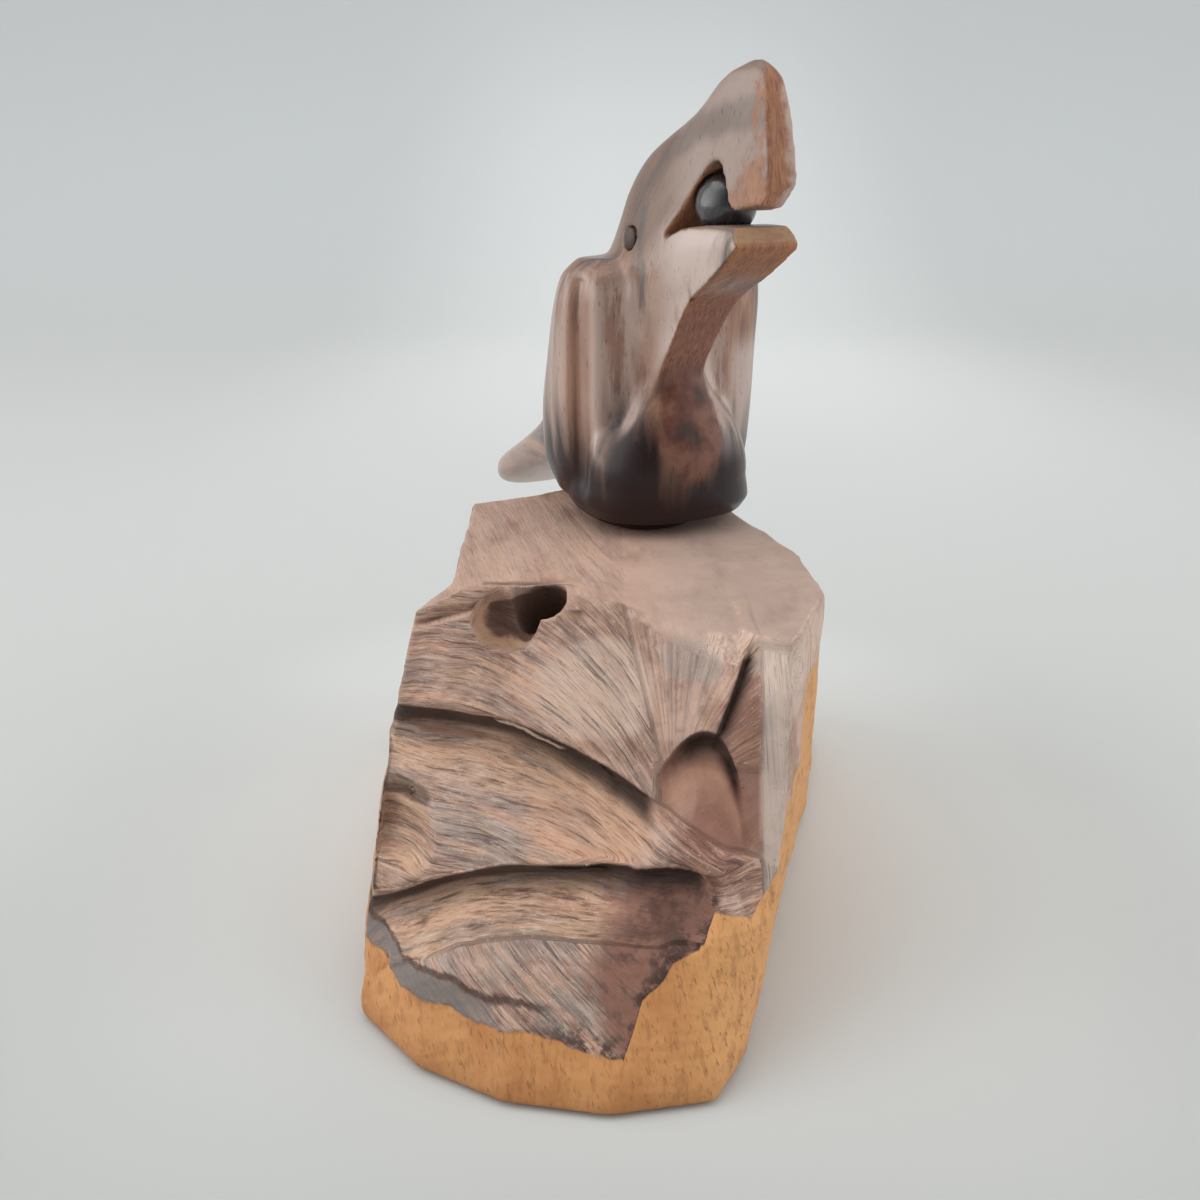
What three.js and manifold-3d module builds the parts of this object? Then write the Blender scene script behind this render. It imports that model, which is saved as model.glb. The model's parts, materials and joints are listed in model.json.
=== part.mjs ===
// A carved hardwood toucan pegged to a rough-hewn wooden base, holding a loose ball in its open bill.
// Units are millimetres, +Z is up. The origin is the middle of the base's flat underside.
// -Y is the base's front end. The bird looks towards -Y, turned a little to +X.
import * as THREE from "three";
import { mergeVertices } from "three/addons/utils/BufferGeometryUtils.js";
import Module from "manifold-3d";

const wasm = await Module();
wasm.setup();

// Base: a hewn block, wider at its foot than at its brow
const BASE_LENGTH = 132;
const BASE_WIDTH = 86;
const BASE_HEIGHT = 53;
const BASE_BULGE = 1.5; // how far the sides swell between foot and brow
const FOOT_ROUNDING = 3; // worn edge round the underside
const KNOT_HOLE_DIAMETER = 10;
const KNOT_HOLE_DEPTH = 12;
const GOUGE_DEPTH = 2.6; // the deepest chisel cuts on the front

// Bird: heights are above the seat where its foot rests, reaches are along its heading from its own origin
const BIRD_HEIGHT = 74; // to the top of the bill
const BIRD_X = 6.7;
const BIRD_Y = 26.1;
const BIRD_HEADING = 28; // degrees from the base's front end towards +X
const SHOULDER_HEIGHT = 45.6;
const BODY_WIDTH = 38.5;
const BODY_DEPTH = 30;
const BODY_OFFSIDE = 3.4; // the far wing is held out further than the near one
const WING_REACH = 7; // how far forward the wings' leading edges stand
const BREAST_WIDTH = 31;
const BREAST_REACH = 15;
const BREAST_HEIGHT = 31;
const BREAST_OFFSIDE = 1.5;
const BELLY_LIFT = 2; // the belly stands clear of the base on a small carved foot
const FOOT_LENGTH = 22;
const FOOT_WIDTH = 15;
const SEAT_BACK = 3; // the foot's middle stands this far behind the bird's own origin
const SEAT_OFFSIDE = -1;
const HEAD_WIDTH = 14;
const BILL_REACH = 36.3;
const BILL_THICKNESS = 9;
const TAIL_REACH = 50;
const TAIL_WIDTH = 17;
const TAIL_THICKNESS = 8.5;
const TAIL_ROOT_HEIGHT = 20;

// Loose ball in the bill, eyes, and the pegs that hold the bird to the base
const BALL_DIAMETER = 9.6;
const BALL_CLEARANCE = 0.3;
const EYE_DIAMETER = 3.4;
const EYE_DEPTH = 2.5;
const EYE_DOME = 0.5;
const PEG_DIAMETER = 6;
const PEG_LENGTH = 26;
const PEG_SPACING = 13;
const SEAT_GAP = 0.3; // glue line between bird and base
const PEG_CLEARANCE = 0.25;

const WOOD_DARK = new THREE.MeshStandardMaterial({ color: 0x5f3f33, roughness: 0.4, metalness: 0 });
const WOOD_ROUGH = new THREE.MeshStandardMaterial({ color: 0x8c6a55, roughness: 0.75, metalness: 0 });
const BALL_DARK = new THREE.MeshStandardMaterial({ color: 0x2c2a2f, roughness: 0.25, metalness: 0 });
const EYE_BLACK = new THREE.MeshStandardMaterial({ color: 0x1d1818, roughness: 0.3, metalness: 0 });
const PEG_PALE = new THREE.MeshStandardMaterial({ color: 0xc79f6c, roughness: 0.7, metalness: 0 });

// Solids in and out of the boolean library
function solid(geometry) {
  const bare = geometry.clone();
  for (const name of ["normal", "uv"]) bare.deleteAttribute(name);
  const merged = mergeVertices(bare, 1e-4);
  const triVerts = new Uint32Array(merged.index.array);
  const vertProperties = new Float32Array(merged.attributes.position.array);
  return new wasm.Manifold(new wasm.Mesh({ numProp: 3, vertProperties, triVerts }));
}

function geometryOf(made) {
  const mesh = made.getMesh();
  const geometry = new THREE.BufferGeometry();
  geometry.setAttribute("position", new THREE.BufferAttribute(mesh.vertProperties, 3));
  geometry.setIndex(new THREE.BufferAttribute(mesh.triVerts, 1));
  geometry.computeVertexNormals();
  return geometry;
}

// Joins rings of equally many points into one closed skin, with a fan over each end
function loft(rings) {
  const count = rings[0].length;
  const points = rings.flat();
  const middle = (ring) => ring.reduce((sum, p) => sum.add(p), new THREE.Vector3()).divideScalar(count);
  const first = points.push(middle(rings[0])) - 1;
  const last = points.push(middle(rings.at(-1))) - 1;
  const top = (rings.length - 1) * count;
  const index = [];
  for (let j = 0; j < count; j++) {
    const k = (j + 1) % count;
    for (let a = 0; a < top; a += count) {
      index.push(a + j, a + k, a + count + k, a + j, a + count + k, a + count + j);
    }
    index.push(first, k, j, last, top + j, top + k);
  }
  const geometry = new THREE.BufferGeometry().setFromPoints(points);
  geometry.setIndex(index);
  return geometry;
}

// A smooth run of values through hand-picked stations, the first value of each being its height or place
function stations(rows, steps) {
  const keys = rows.map((row) => row[0]);
  const curve = new THREE.CubicInterpolant(keys, rows.flatMap((row) => row.slice(1)), rows[0].length - 1);
  const at = (key) => Array.from(curve.evaluate(key));
  const span = keys.at(-1) - keys[0];
  const levels = Array.from({ length: steps + 1 }, (_, i) => keys[0] + (span * i) / steps);
  return { at, levels };
}

// Superellipse ring: squareness 2 is an ellipse, more is boxier
function oval(count, squareness, place) {
  const power = 2 / squareness;
  return Array.from({ length: count }, (_, i) => {
    const turn = (2 * Math.PI * i) / count;
    const [c, s] = [Math.cos(turn), Math.sin(turn)];
    return place(Math.sign(c) * Math.abs(c) ** power, Math.sign(s) * Math.abs(s) ** power);
  });
}

// Base outline: foot and brow of each hewn corner,
// as shares of half the width, half the length and the height
const HEWN_CORNERS = [
  { foot: [-0.02, -1.0], brow: [0.04, -0.3, 1.0] },
  { foot: [0.3, -0.96], brow: [0.3, -0.41, 1.0] },
  { foot: [0.415, -0.82], brow: [0.56, -0.52, 1.0] },
  { foot: [0.63, -0.24], brow: [0.74, -0.22, 1.0] },
  { foot: [0.84, 0.15], brow: [0.71, 0.09, 1.0] },
  { foot: [1.0, 0.64], brow: [0.6, 0.29, 1.0] },
  { foot: [0.88, 0.88], brow: [0.44, 0.65, 1.0] },
  { foot: [0.1, 1.0], brow: [0.0, 0.76, 1.0] },
  { foot: [-0.79, 0.82], brow: [-0.6, 0.545, 1.0] },
  { foot: [-1.0, 0.2], brow: [-0.57, -0.14, 1.0] },
  { foot: [-0.84, -0.7], brow: [-0.665, -0.345, 1.0] },
  { foot: [-0.62, -0.865], brow: [-0.52, -0.32, 1.06] },
  { foot: [-0.34, -0.965], brow: [-0.28, -0.3, 1.07] },
];
const SEAT_SHARE = 0.72; // the level seat is this much of the brow's outline
const SEAT_SHIFT = 0.06; // and lies this much of half the length further back
const SIDE_SHARES = [0.25, 0.5, 0.75];

function basePoint([x, y, z]) {
  return new THREE.Vector3((x * BASE_WIDTH) / 2, (y * BASE_LENGTH) / 2, z * BASE_HEIGHT);
}

function hewnBlock() {
  const ring = (share, swell) =>
    HEWN_CORNERS.map(({ foot, brow }) => {
      const point = basePoint([...foot, 0]).lerp(basePoint(brow), share);
      const reach = 1 + swell / Math.hypot(point.x, point.y);
      return point.setX(point.x * reach).setY(point.y * reach);
    });
  const worn = FOOT_ROUNDING / BASE_HEIGHT;
  const underside = [ring(0, -FOOT_ROUNDING), ring(worn * 0.3, -FOOT_ROUNDING * 0.3), ring(worn, 0)];
  const sides = SIDE_SHARES.map((share) => ring(share, BASE_BULGE * Math.sin(Math.PI * share)));
  const seat = HEWN_CORNERS.map(({ brow: [x, y] }) =>
    basePoint([x * SEAT_SHARE, y * SEAT_SHARE + SEAT_SHIFT, 1]),
  );
  return solid(loft([...underside, ...sides, ring(1, 0), seat]));
}

// Chisel cuts on the front: each is a steep step that ramps out below, along points on the face.
// An open cut runs in from the left edge, the others fade out at both ends.
const FACE_OUT = new THREE.Vector3(-0.05, -0.83, 0.55).normalize();
const CUTTER_RISE = 8; // how far the cutter stands out of the face
const CUTTER_STEPS = 14;
const CUTTER_START = 0.1; // a fading end starts this far outside the wood
const UPPER_CUT = {
  path: [
    [-0.86, -0.41, 0.76],
    [-0.55, -0.43, 0.75],
    [-0.31, -0.475, 0.73],
    [-0.11, -0.52, 0.68],
    [0.08, -0.595, 0.63],
    [0.19, -0.64, 0.57],
  ],
  depth: GOUGE_DEPTH,
  ramp: 12,
  open: true,
};
const LOWER_CUT = {
  path: [
    [-1.0, -0.5, 0.24],
    [-0.77, -0.565, 0.28],
    [-0.54, -0.61, 0.37],
    [-0.3, -0.645, 0.43],
    [-0.05, -0.67, 0.45],
    [0.1, -0.69, 0.44],
  ],
  depth: GOUGE_DEPTH * 0.95,
  ramp: 10,
  open: true,
};
const HALF_MOON_CUT = {
  path: [
    [0.11, -0.6, 0.64],
    [0.19, -0.585, 0.71],
    [0.28, -0.59, 0.75],
    [0.36, -0.6, 0.755],
    [0.44, -0.63, 0.68],
  ],
  depth: GOUGE_DEPTH * 1.1,
  ramp: 11,
  open: false,
};
const DARK_HOLLOW = {
  path: [
    [0.08, -0.685, 0.46],
    [0.2, -0.68, 0.475],
    [0.31, -0.71, 0.43],
  ],
  depth: GOUGE_DEPTH * 0.7,
  ramp: 10,
  open: false,
};

function gouge({ path, depth, ramp, open }) {
  const curve = new THREE.CatmullRomCurve3(path.map(basePoint));
  const rings = [];
  for (let i = 0; i <= CUTTER_STEPS; i++) {
    const along = i / CUTTER_STEPS;
    const point = curve.getPoint(along);
    const down = new THREE.Vector3().crossVectors(curve.getTangent(along), FACE_OUT).normalize();
    const swell = open ? Math.cos((Math.PI / 2) * along) : Math.sin(Math.PI * along);
    const deep = depth * Math.sqrt(Math.max(swell, 0)) - CUTTER_START;
    const spot = (out, below) => point.clone().addScaledVector(FACE_OUT, out).addScaledVector(down, below);
    rings.push([
      spot(CUTTER_RISE, ramp),
      spot(CUTTER_START, ramp),
      spot(-deep * 0.45, ramp * 0.7),
      spot(-deep * 0.85, ramp * 0.37),
      spot(-deep, deep * 0.5),
      spot(0, 0),
      spot(CUTTER_RISE, -CUTTER_RISE * 0.2),
    ]);
  }
  return solid(loft(rings));
}

// A round-bottomed trough pared down the front's right-hand edge
const TROUGH_RADIUS = 6;
const TROUGH_DEPTH = GOUGE_DEPTH * 0.9;
const TROUGH_SIDES = 16;
const TROUGH_PATH = [
  [0.4, -0.54, 0.9],
  [0.45, -0.59, 0.76],
  [0.47, -0.635, 0.62],
  [0.47, -0.68, 0.48],
  [0.46, -0.71, 0.33],
];

function trough() {
  const curve = new THREE.CatmullRomCurve3(TROUGH_PATH.map(basePoint));
  const rings = [];
  for (let i = 0; i <= CUTTER_STEPS; i++) {
    const along = i / CUTTER_STEPS;
    const across = new THREE.Vector3().crossVectors(FACE_OUT, curve.getTangent(along)).normalize();
    const deep = TROUGH_DEPTH * Math.sin(Math.PI * along) - CUTTER_START;
    const centre = curve.getPoint(along).addScaledVector(FACE_OUT, TROUGH_RADIUS - deep);
    const place = (x, y) => centre.clone().addScaledVector(across, x).addScaledVector(FACE_OUT, y);
    rings.push(oval(TROUGH_SIDES, 2, (x, y) => place(x * TROUGH_RADIUS, y * TROUGH_RADIUS)));
  }
  return solid(loft(rings));
}

// Knot hole that breaks the brow, with a shallow scoop below it
const KNOT_AT = [-0.25, -0.28, 1.0];
const KNOT_LIP_AT = [-0.36, -0.29, 0.93];
const KNOT_LEAN = new THREE.Vector3(0.3, 0.45, -0.84).normalize();
const KNOT_TAPER = 0.75; // how much of the mouth's width is left at the bottom

function knotHole() {
  const r = KNOT_HOLE_DIAMETER / 2;
  const hole = new THREE.CylinderGeometry(r * KNOT_TAPER, r, KNOT_HOLE_DEPTH * 2, 24);
  hole.applyQuaternion(new THREE.Quaternion().setFromUnitVectors(new THREE.Vector3(0, 1, 0), KNOT_LEAN));
  const place = basePoint(KNOT_AT);
  const lip = basePoint(KNOT_LIP_AT).addScaledVector(FACE_OUT, r * KNOT_TAPER);
  const scoop = new THREE.SphereGeometry(r, 20, 12).translate(lip.x, lip.y, lip.z);
  return solid(hole.translate(place.x, place.y, place.z)).add(solid(scoop));
}

// Bird frame: +X along the heading, +Y to the bird's left, +Z up from the seat
const birdSpot = new THREE.Group();
birdSpot.position.set(BIRD_X, BIRD_Y, BASE_HEIGHT + SEAT_GAP);
birdSpot.rotation.z = THREE.MathUtils.degToRad(BIRD_HEADING - 90);

// Wings and back: one block with flat shoulders and a back that falls to the tail,
// as [height share, front share, back share, width share]
const WING_ROWS = [
  [0.0, 0.45, -0.7, 0.62],
  [0.05, 0.75, -0.88, 0.8],
  [0.14, 0.93, -0.98, 0.93],
  [0.35, 1.0, -1.0, 1.0],
  [0.65, 1.0, -0.82, 1.0],
  [0.88, 0.97, -0.62, 0.98],
  [0.95, 0.88, -0.54, 0.94],
  [0.985, 0.72, -0.46, 0.89],
  [1.0, 0.5, -0.38, 0.82],
];
const WING_TAPER = 0.38; // how much of the width is lost towards the back
const WING_SQUARENESS = 2.7;
const WING_STEPS = 16;
const BODY_SIDES = 48;

function wingBlock() {
  const run = stations(WING_ROWS, WING_STEPS);
  const tall = SHOULDER_HEIGHT - BELLY_LIFT;
  const rings = run.levels.map((height) => {
    const [front, back, width] = run.at(height);
    const lead = front * WING_REACH;
    const rear = back * (BODY_DEPTH - WING_REACH);
    return oval(BODY_SIDES, WING_SQUARENESS, (u, v) => {
      const narrowing = 1 - WING_TAPER * Math.max(0, -u) ** 2;
      return new THREE.Vector3(
        (lead + rear) / 2 + (u * (lead - rear)) / 2,
        BODY_OFFSIDE + (v * width * narrowing * BODY_WIDTH) / 2,
        BELLY_LIFT + height * tall,
      );
    });
  });
  return solid(loft(rings));
}

// Breast: a bell that flares out of the throat, as [height share, reach share, width share]
const BREAST_ROWS = [
  [0.0, 0.8, 0.8],
  [0.08, 0.93, 0.93],
  [0.28, 1.0, 1.0],
  [0.5, 0.95, 0.88],
  [0.7, 0.84, 0.64],
  [0.85, 0.75, 0.42],
  [1.0, 0.7, 0.27],
];
const BREAST_SQUARENESS = 2.4;
const BREAST_STEPS = 12;

function breast() {
  const run = stations(BREAST_ROWS, BREAST_STEPS);
  const tall = BREAST_HEIGHT - BELLY_LIFT;
  const rings = run.levels.map((height) => {
    const [reach, width] = run.at(height);
    return oval(BODY_SIDES, BREAST_SQUARENESS, (u, v) =>
      new THREE.Vector3(
        u * reach * BREAST_REACH,
        BREAST_OFFSIDE * width + (v * width * BREAST_WIDTH) / 2,
        BELLY_LIFT + height * tall,
      ),
    );
  });
  return solid(loft(rings));
}

// Carved foot that the bird stands on, rooted in the belly
const FOOT_ROOT = 4;

function foot() {
  const ring = (height, grow) =>
    oval(BODY_SIDES, BREAST_SQUARENESS, (u, v) =>
      new THREE.Vector3(
        (u * FOOT_LENGTH * grow) / 2 - SEAT_BACK,
        (v * FOOT_WIDTH * grow) / 2 + SEAT_OFFSIDE,
        height,
      ),
    );
  return solid(loft([ring(0, 1), ring(BELLY_LIFT, 1.1), ring(BELLY_LIFT + FOOT_ROOT, 1.3)]));
}

// Head, throat and bill: horizontal slices with a flat strip in front, as
// [height, front, back, strip, cheek, cheek place]: heights are shares of the bird's height,
// front, back and cheek place are shares of the bill's reach, strip is a share of the bill's
// thickness and cheek is a share of the head's width
const HEAD_ROWS = [
  [0.2, 0.2, -0.35, 1.1, 2.1, -0.14],
  [0.3, 0.27, -0.36, 1.0, 2.0, -0.13],
  [0.38, 0.31, -0.37, 0.95, 1.9, -0.11],
  [0.445, 0.39, -0.37, 0.95, 1.78, -0.09],
  [0.495, 0.46, -0.36, 0.98, 1.6, -0.05],
  [0.545, 0.56, -0.33, 1.05, 1.38, -0.01],
  [0.585, 0.7, -0.28, 1.14, 1.2, 0.03],
  [0.63, 0.84, -0.23, 1.24, 1.05, 0.07],
  [0.665, 0.93, -0.19, 1.26, 0.96, 0.09],
  [0.69, 0.96, -0.16, 1.14, 0.92, 0.1],
  [0.715, 0.99, -0.13, 0.75, 0.88, 0.11],
  [0.745, 1.0, -0.1, 0.6, 0.83, 0.13],
  [0.795, 0.995, -0.02, 0.58, 0.7, 0.17],
  [0.835, 0.985, 0.07, 0.57, 0.6, 0.26],
  [0.865, 0.97, 0.2, 0.55, 0.55, 0.37],
  [0.9, 0.955, 0.4, 0.52, 0.53, 0.52],
  [0.93, 0.94, 0.5, 0.47, 0.5, 0.62],
  [0.97, 0.91, 0.6, 0.36, 0.39, 0.7],
  [0.99, 0.87, 0.69, 0.24, 0.26, 0.76],
  [1.0, 0.83, 0.77, 0.1, 0.11, 0.8],
];
const HEAD_STEPS = 44;
const SIDE_STEPS = 10;
const NAPE_STEPS = 7;

const headRun = stations(HEAD_ROWS, HEAD_STEPS);

function headSlice(share) {
  const [front, back, strip, cheek, place] = headRun.at(share);
  return {
    front: front * BILL_REACH,
    back: back * BILL_REACH,
    strip: (strip * BILL_THICKNESS) / 2,
    cheek: (cheek * HEAD_WIDTH) / 2,
    place: place * BILL_REACH,
    height: share * BIRD_HEIGHT,
  };
}

function sideAt(slice, along) {
  const eased = along * along * (3 - 2 * along);
  const u = slice.front + (slice.place - slice.front) * along;
  return [u, slice.strip + (slice.cheek - slice.strip) * eased];
}

function headRing(share) {
  const slice = headSlice(share);
  const half = [];
  for (let i = 0; i < SIDE_STEPS; i++) half.push(sideAt(slice, i / SIDE_STEPS));
  for (let i = 0; i <= NAPE_STEPS; i++) {
    const turn = ((Math.PI / 2) * i) / NAPE_STEPS;
    half.push([slice.place - (slice.place - slice.back) * Math.sin(turn), slice.cheek * Math.cos(turn)]);
  }
  half.at(-1)[1] = 0;
  const other = half.slice(0, -1).reverse().map(([u, v]) => [u, -v]);
  return [...half, ...other].map(([u, v]) => new THREE.Vector3(u, v, slice.height));
}

function head() {
  return solid(loft(headRun.levels.map(headRing)));
}

// Tail: a flat paddle that hangs out behind the base, its tip a little below the seat, as
// [reach share, height share, width share, thickness share]
const TAIL_ROWS = [
  [0.2, 0.9, 1.5, 2.4],
  [0.4, 0.66, 1.3, 1.8],
  [0.55, 0.46, 1.15, 1.4],
  [0.7, 0.27, 1.16, 1.15],
  [0.85, 0.08, 1.22, 1.0],
  [0.93, -0.01, 1.13, 0.9],
  [0.98, -0.07, 0.88, 0.68],
  [1.0, -0.1, 0.54, 0.44],
];
const TAIL_SQUARENESS = 2.6;
const TAIL_STEPS = 16;
const TAIL_SIDES = 28;

function tail() {
  const run = stations(TAIL_ROWS, TAIL_STEPS);
  const rings = run.levels.map((reach) => {
    const [height, width, thickness] = run.at(reach);
    return oval(TAIL_SIDES, TAIL_SQUARENESS, (w, v) =>
      new THREE.Vector3(
        -reach * TAIL_REACH,
        (v * width * TAIL_WIDTH) / 2,
        height * TAIL_ROOT_HEIGHT + (w * thickness * TAIL_THICKNESS) / 2,
      ),
    );
  });
  return solid(loft(rings));
}

// Mouth: the cut between the two halves of the bill, drawn in profile round the ball
const BALL_REACH_SHARE = 0.606;
const BALL_HEIGHT_SHARE = 0.735;
const BALL_AT = new THREE.Vector3(BALL_REACH_SHARE * BILL_REACH, 0, BALL_HEIGHT_SHARE * BIRD_HEIGHT);
const BALL_SIDES = 28;
const BALL_RINGS = 16;

// In ball radii from the ball's middle: a place past both tips, and the lower tip's sawn-off end
const MOUTH_END = 4.5;
const TIP_FOOT = [2.35, -1.1];
const TIP_TOP = [2.0, -0.56];

function mouthCut() {
  const r = BALL_DIAMETER / 2;
  const at = (u, w) => [BALL_AT.x + u * r, BALL_AT.z + w * r];
  const shape = new THREE.Shape();
  shape.moveTo(...at(-1.9, -1.35));
  shape.quadraticCurveTo(...at(-1.25, -0.5), ...at(-0.3, 0.75));
  shape.quadraticCurveTo(...at(0.2, 1.4), ...at(0.55, 1.25));
  shape.quadraticCurveTo(...at(0.85, 0.9), ...at(1.05, 0.2));
  shape.quadraticCurveTo(...at(1.2, -0.15), ...at(1.65, -0.12));
  shape.lineTo(...at(MOUTH_END, 0.3));
  shape.lineTo(...at(MOUTH_END, TIP_FOOT[1]));
  shape.lineTo(...at(...TIP_FOOT));
  shape.lineTo(...at(...TIP_TOP));
  shape.quadraticCurveTo(...at(0.6, -0.5), ...at(-0.7, -0.72));
  shape.quadraticCurveTo(...at(-1.5, -0.95), ...at(-1.9, -1.35));
  const wide = HEAD_WIDTH * 2;
  const geometry = new THREE.ExtrudeGeometry(shape, { depth: wide, bevelEnabled: false, curveSegments: 6 });
  geometry.rotateX(Math.PI / 2).translate(0, wide / 2, 0);
  return solid(geometry);
}

function ballPocket() {
  const geometry = new THREE.SphereGeometry(BALL_DIAMETER / 2 + BALL_CLEARANCE, BALL_SIDES, BALL_RINGS);
  return solid(geometry.rotateX(Math.PI / 2).translate(BALL_AT.x, BALL_AT.y, BALL_AT.z));
}

// Eyes: domed plugs in drilled holes on the cheeks
const EYE_SHARE = 0.66;
const EYE_SIDES = 24;
const EYE_ALONG = 0.96;

function eyePlace(side) {
  const slice = headSlice(EYE_SHARE);
  const [u, v] = sideAt(slice, EYE_ALONG);
  return new THREE.Vector3(u, side * v, slice.height);
}

function eyeHole(side) {
  const deep = EYE_DEPTH + SEAT_GAP;
  const long = deep + HEAD_WIDTH;
  const r = EYE_DIAMETER / 2 + PEG_CLEARANCE;
  const drill = new THREE.CylinderGeometry(r, r, long, EYE_SIDES);
  const place = eyePlace(side);
  return solid(drill.translate(place.x, place.y + side * (long / 2 - deep), place.z));
}

function eyeGeometry() {
  const r = EYE_DIAMETER / 2;
  const profile = new THREE.Path();
  profile.moveTo(0, -EYE_DEPTH);
  profile.lineTo(r, -EYE_DEPTH);
  profile.lineTo(r, 0);
  profile.quadraticCurveTo(r * 0.75, EYE_DOME, 0, EYE_DOME);
  return new THREE.LatheGeometry(profile.getPoints(4), EYE_SIDES);
}

// Pegs: two dowels, half in the bird and half in the base
const PEG_PLACES = [PEG_SPACING / 2 - SEAT_BACK, -PEG_SPACING / 2 - SEAT_BACK];
const PEG_SIDES = 24;

function pegHole(u) {
  const r = PEG_DIAMETER / 2 + PEG_CLEARANCE;
  const deep = PEG_LENGTH + 2 * SEAT_GAP;
  const drill = new THREE.CylinderGeometry(r, r, deep, PEG_SIDES).rotateX(Math.PI / 2);
  return solid(drill.translate(u, SEAT_OFFSIDE, -SEAT_GAP / 2));
}

function pegGeometry() {
  const r = PEG_DIAMETER / 2;
  const chamfer = r * 0.2;
  const half = PEG_LENGTH / 2;
  const profile = [
    [0, -half],
    [r - chamfer, -half],
    [r, chamfer - half],
    [r, half - chamfer],
    [r - chamfer, half],
    [0, half],
  ].map(([x, y]) => new THREE.Vector2(x, y));
  return new THREE.LatheGeometry(profile, PEG_SIDES);
}

// Moves a solid made in the bird frame into the base's frame
function inBaseFrame(made) {
  birdSpot.updateMatrix();
  return made.transform(birdSpot.matrix.toArray());
}

function mesh(name, geometry, material) {
  const made = new THREE.Mesh(geometry, material);
  made.name = name;
  return made;
}

let base = hewnBlock().subtract(knotHole()).subtract(trough());
for (const cut of [UPPER_CUT, LOWER_CUT, HALF_MOON_CUT, DARK_HOLLOW]) {
  base = base.subtract(gouge(cut));
}
let bird = wingBlock().add(breast()).add(foot()).add(tail()).add(head());
bird = bird.subtract(mouthCut()).subtract(ballPocket());
for (const side of [1, -1]) bird = bird.subtract(eyeHole(side));
for (const u of PEG_PLACES) {
  bird = bird.subtract(pegHole(u));
  base = base.subtract(inBaseFrame(pegHole(u)));
}

const toucan = new THREE.Group();
toucan.add(mesh("base", geometryOf(base), WOOD_ROUGH), birdSpot);
birdSpot.add(mesh("toucan", geometryOf(bird), WOOD_DARK));

const ballGeometry = new THREE.SphereGeometry(BALL_DIAMETER / 2, BALL_SIDES, BALL_RINGS);
const ball = mesh("beak_ball", ballGeometry, BALL_DARK);
ball.position.copy(BALL_AT);
ball.rotation.x = Math.PI / 2;
birdSpot.add(ball);

for (const [name, side] of [["eye_left", 1], ["eye_right", -1]]) {
  const eye = mesh(name, eyeGeometry(), EYE_BLACK);
  eye.position.copy(eyePlace(side));
  if (side < 0) eye.rotation.z = Math.PI;
  birdSpot.add(eye);
}

for (const [i, name] of ["front_peg", "rear_peg"].entries()) {
  const peg = mesh(name, pegGeometry(), PEG_PALE);
  peg.position.set(PEG_PLACES[i], SEAT_OFFSIDE, -SEAT_GAP / 2);
  peg.rotation.x = Math.PI / 2;
  birdSpot.add(peg);
}

export default toucan;
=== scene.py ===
"""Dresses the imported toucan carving: a polished bird with its ball and eyes, on a rasped block of wood."""
import json
import math

import bmesh
import bpy
import numpy as np
from bpy.props import FloatProperty, FloatVectorProperty, IntProperty, PointerProperty
from bpy.types import Operator, Panel, PropertyGroup
from mathutils import Matrix, Vector, noise


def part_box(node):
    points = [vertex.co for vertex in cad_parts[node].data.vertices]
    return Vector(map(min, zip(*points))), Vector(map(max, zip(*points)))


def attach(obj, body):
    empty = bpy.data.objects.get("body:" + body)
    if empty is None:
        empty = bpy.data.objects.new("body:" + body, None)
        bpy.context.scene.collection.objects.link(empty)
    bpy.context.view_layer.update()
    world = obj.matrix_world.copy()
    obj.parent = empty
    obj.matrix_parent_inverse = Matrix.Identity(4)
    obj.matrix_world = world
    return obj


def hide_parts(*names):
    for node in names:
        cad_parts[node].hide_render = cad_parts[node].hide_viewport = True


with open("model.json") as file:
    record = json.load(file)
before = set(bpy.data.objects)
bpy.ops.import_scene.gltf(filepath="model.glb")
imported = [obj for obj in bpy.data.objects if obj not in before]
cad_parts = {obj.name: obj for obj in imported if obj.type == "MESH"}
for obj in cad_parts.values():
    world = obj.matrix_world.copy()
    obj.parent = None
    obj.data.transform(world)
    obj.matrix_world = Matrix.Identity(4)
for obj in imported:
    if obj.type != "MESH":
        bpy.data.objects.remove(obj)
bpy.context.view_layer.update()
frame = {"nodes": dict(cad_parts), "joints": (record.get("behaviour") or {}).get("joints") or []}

bl_info = {
    "name": "Carved Toucan",
    "version": (1, 0, 0),
    "blender": (4, 5, 0),
    "location": "View3D > Sidebar > Toucan",
    "description": "Builds the looks of a carved wooden toucan on a rough-hewn block",
    "category": "Object",
}

MM = 0.001

# The bird's own frame: u along its heading, v to its left, w up from its seat, in millimetres
BALL_JOINT = frame["joints"][0]
BALL_CENTRE = Vector(BALL_JOINT["pos_m"])
BALL_IN_BIRD = Vector((22.0, 0.0, 54.39)) * MM
BIRD_TURN = math.atan2(BALL_JOINT["axis"][1], BALL_JOINT["axis"][0]) - math.pi / 2
BIRD_SPIN = Matrix.Rotation(BIRD_TURN, 4, "Z")
BIRD_ORIGIN = BALL_CENTRE - BIRD_SPIN @ BALL_IN_BIRD
BIRD_PLACE = Matrix.Translation(BIRD_ORIGIN) @ BIRD_SPIN @ Matrix.Scale(MM, 4)
BASE_PLACE = Matrix.Scale(MM, 4)


def colour(name, default, description):
    """A colour property with plain linear values."""
    return FloatVectorProperty(
        name=name, description=description, subtype="COLOR", size=3, min=0, max=1, default=default
    )


def length(name, default, description):
    """A length property in metres."""
    return FloatProperty(
        name=name, description=description, subtype="DISTANCE", unit="LENGTH", default=default
    )


def amount(name, default, description):
    """A property that is a plain number."""
    return FloatProperty(name=name, description=description, default=default)


def most_triangles(default):
    """How many triangles a carved piece may keep."""
    return IntProperty(name="Triangles", description="Most triangles that the piece keeps", default=default)


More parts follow.
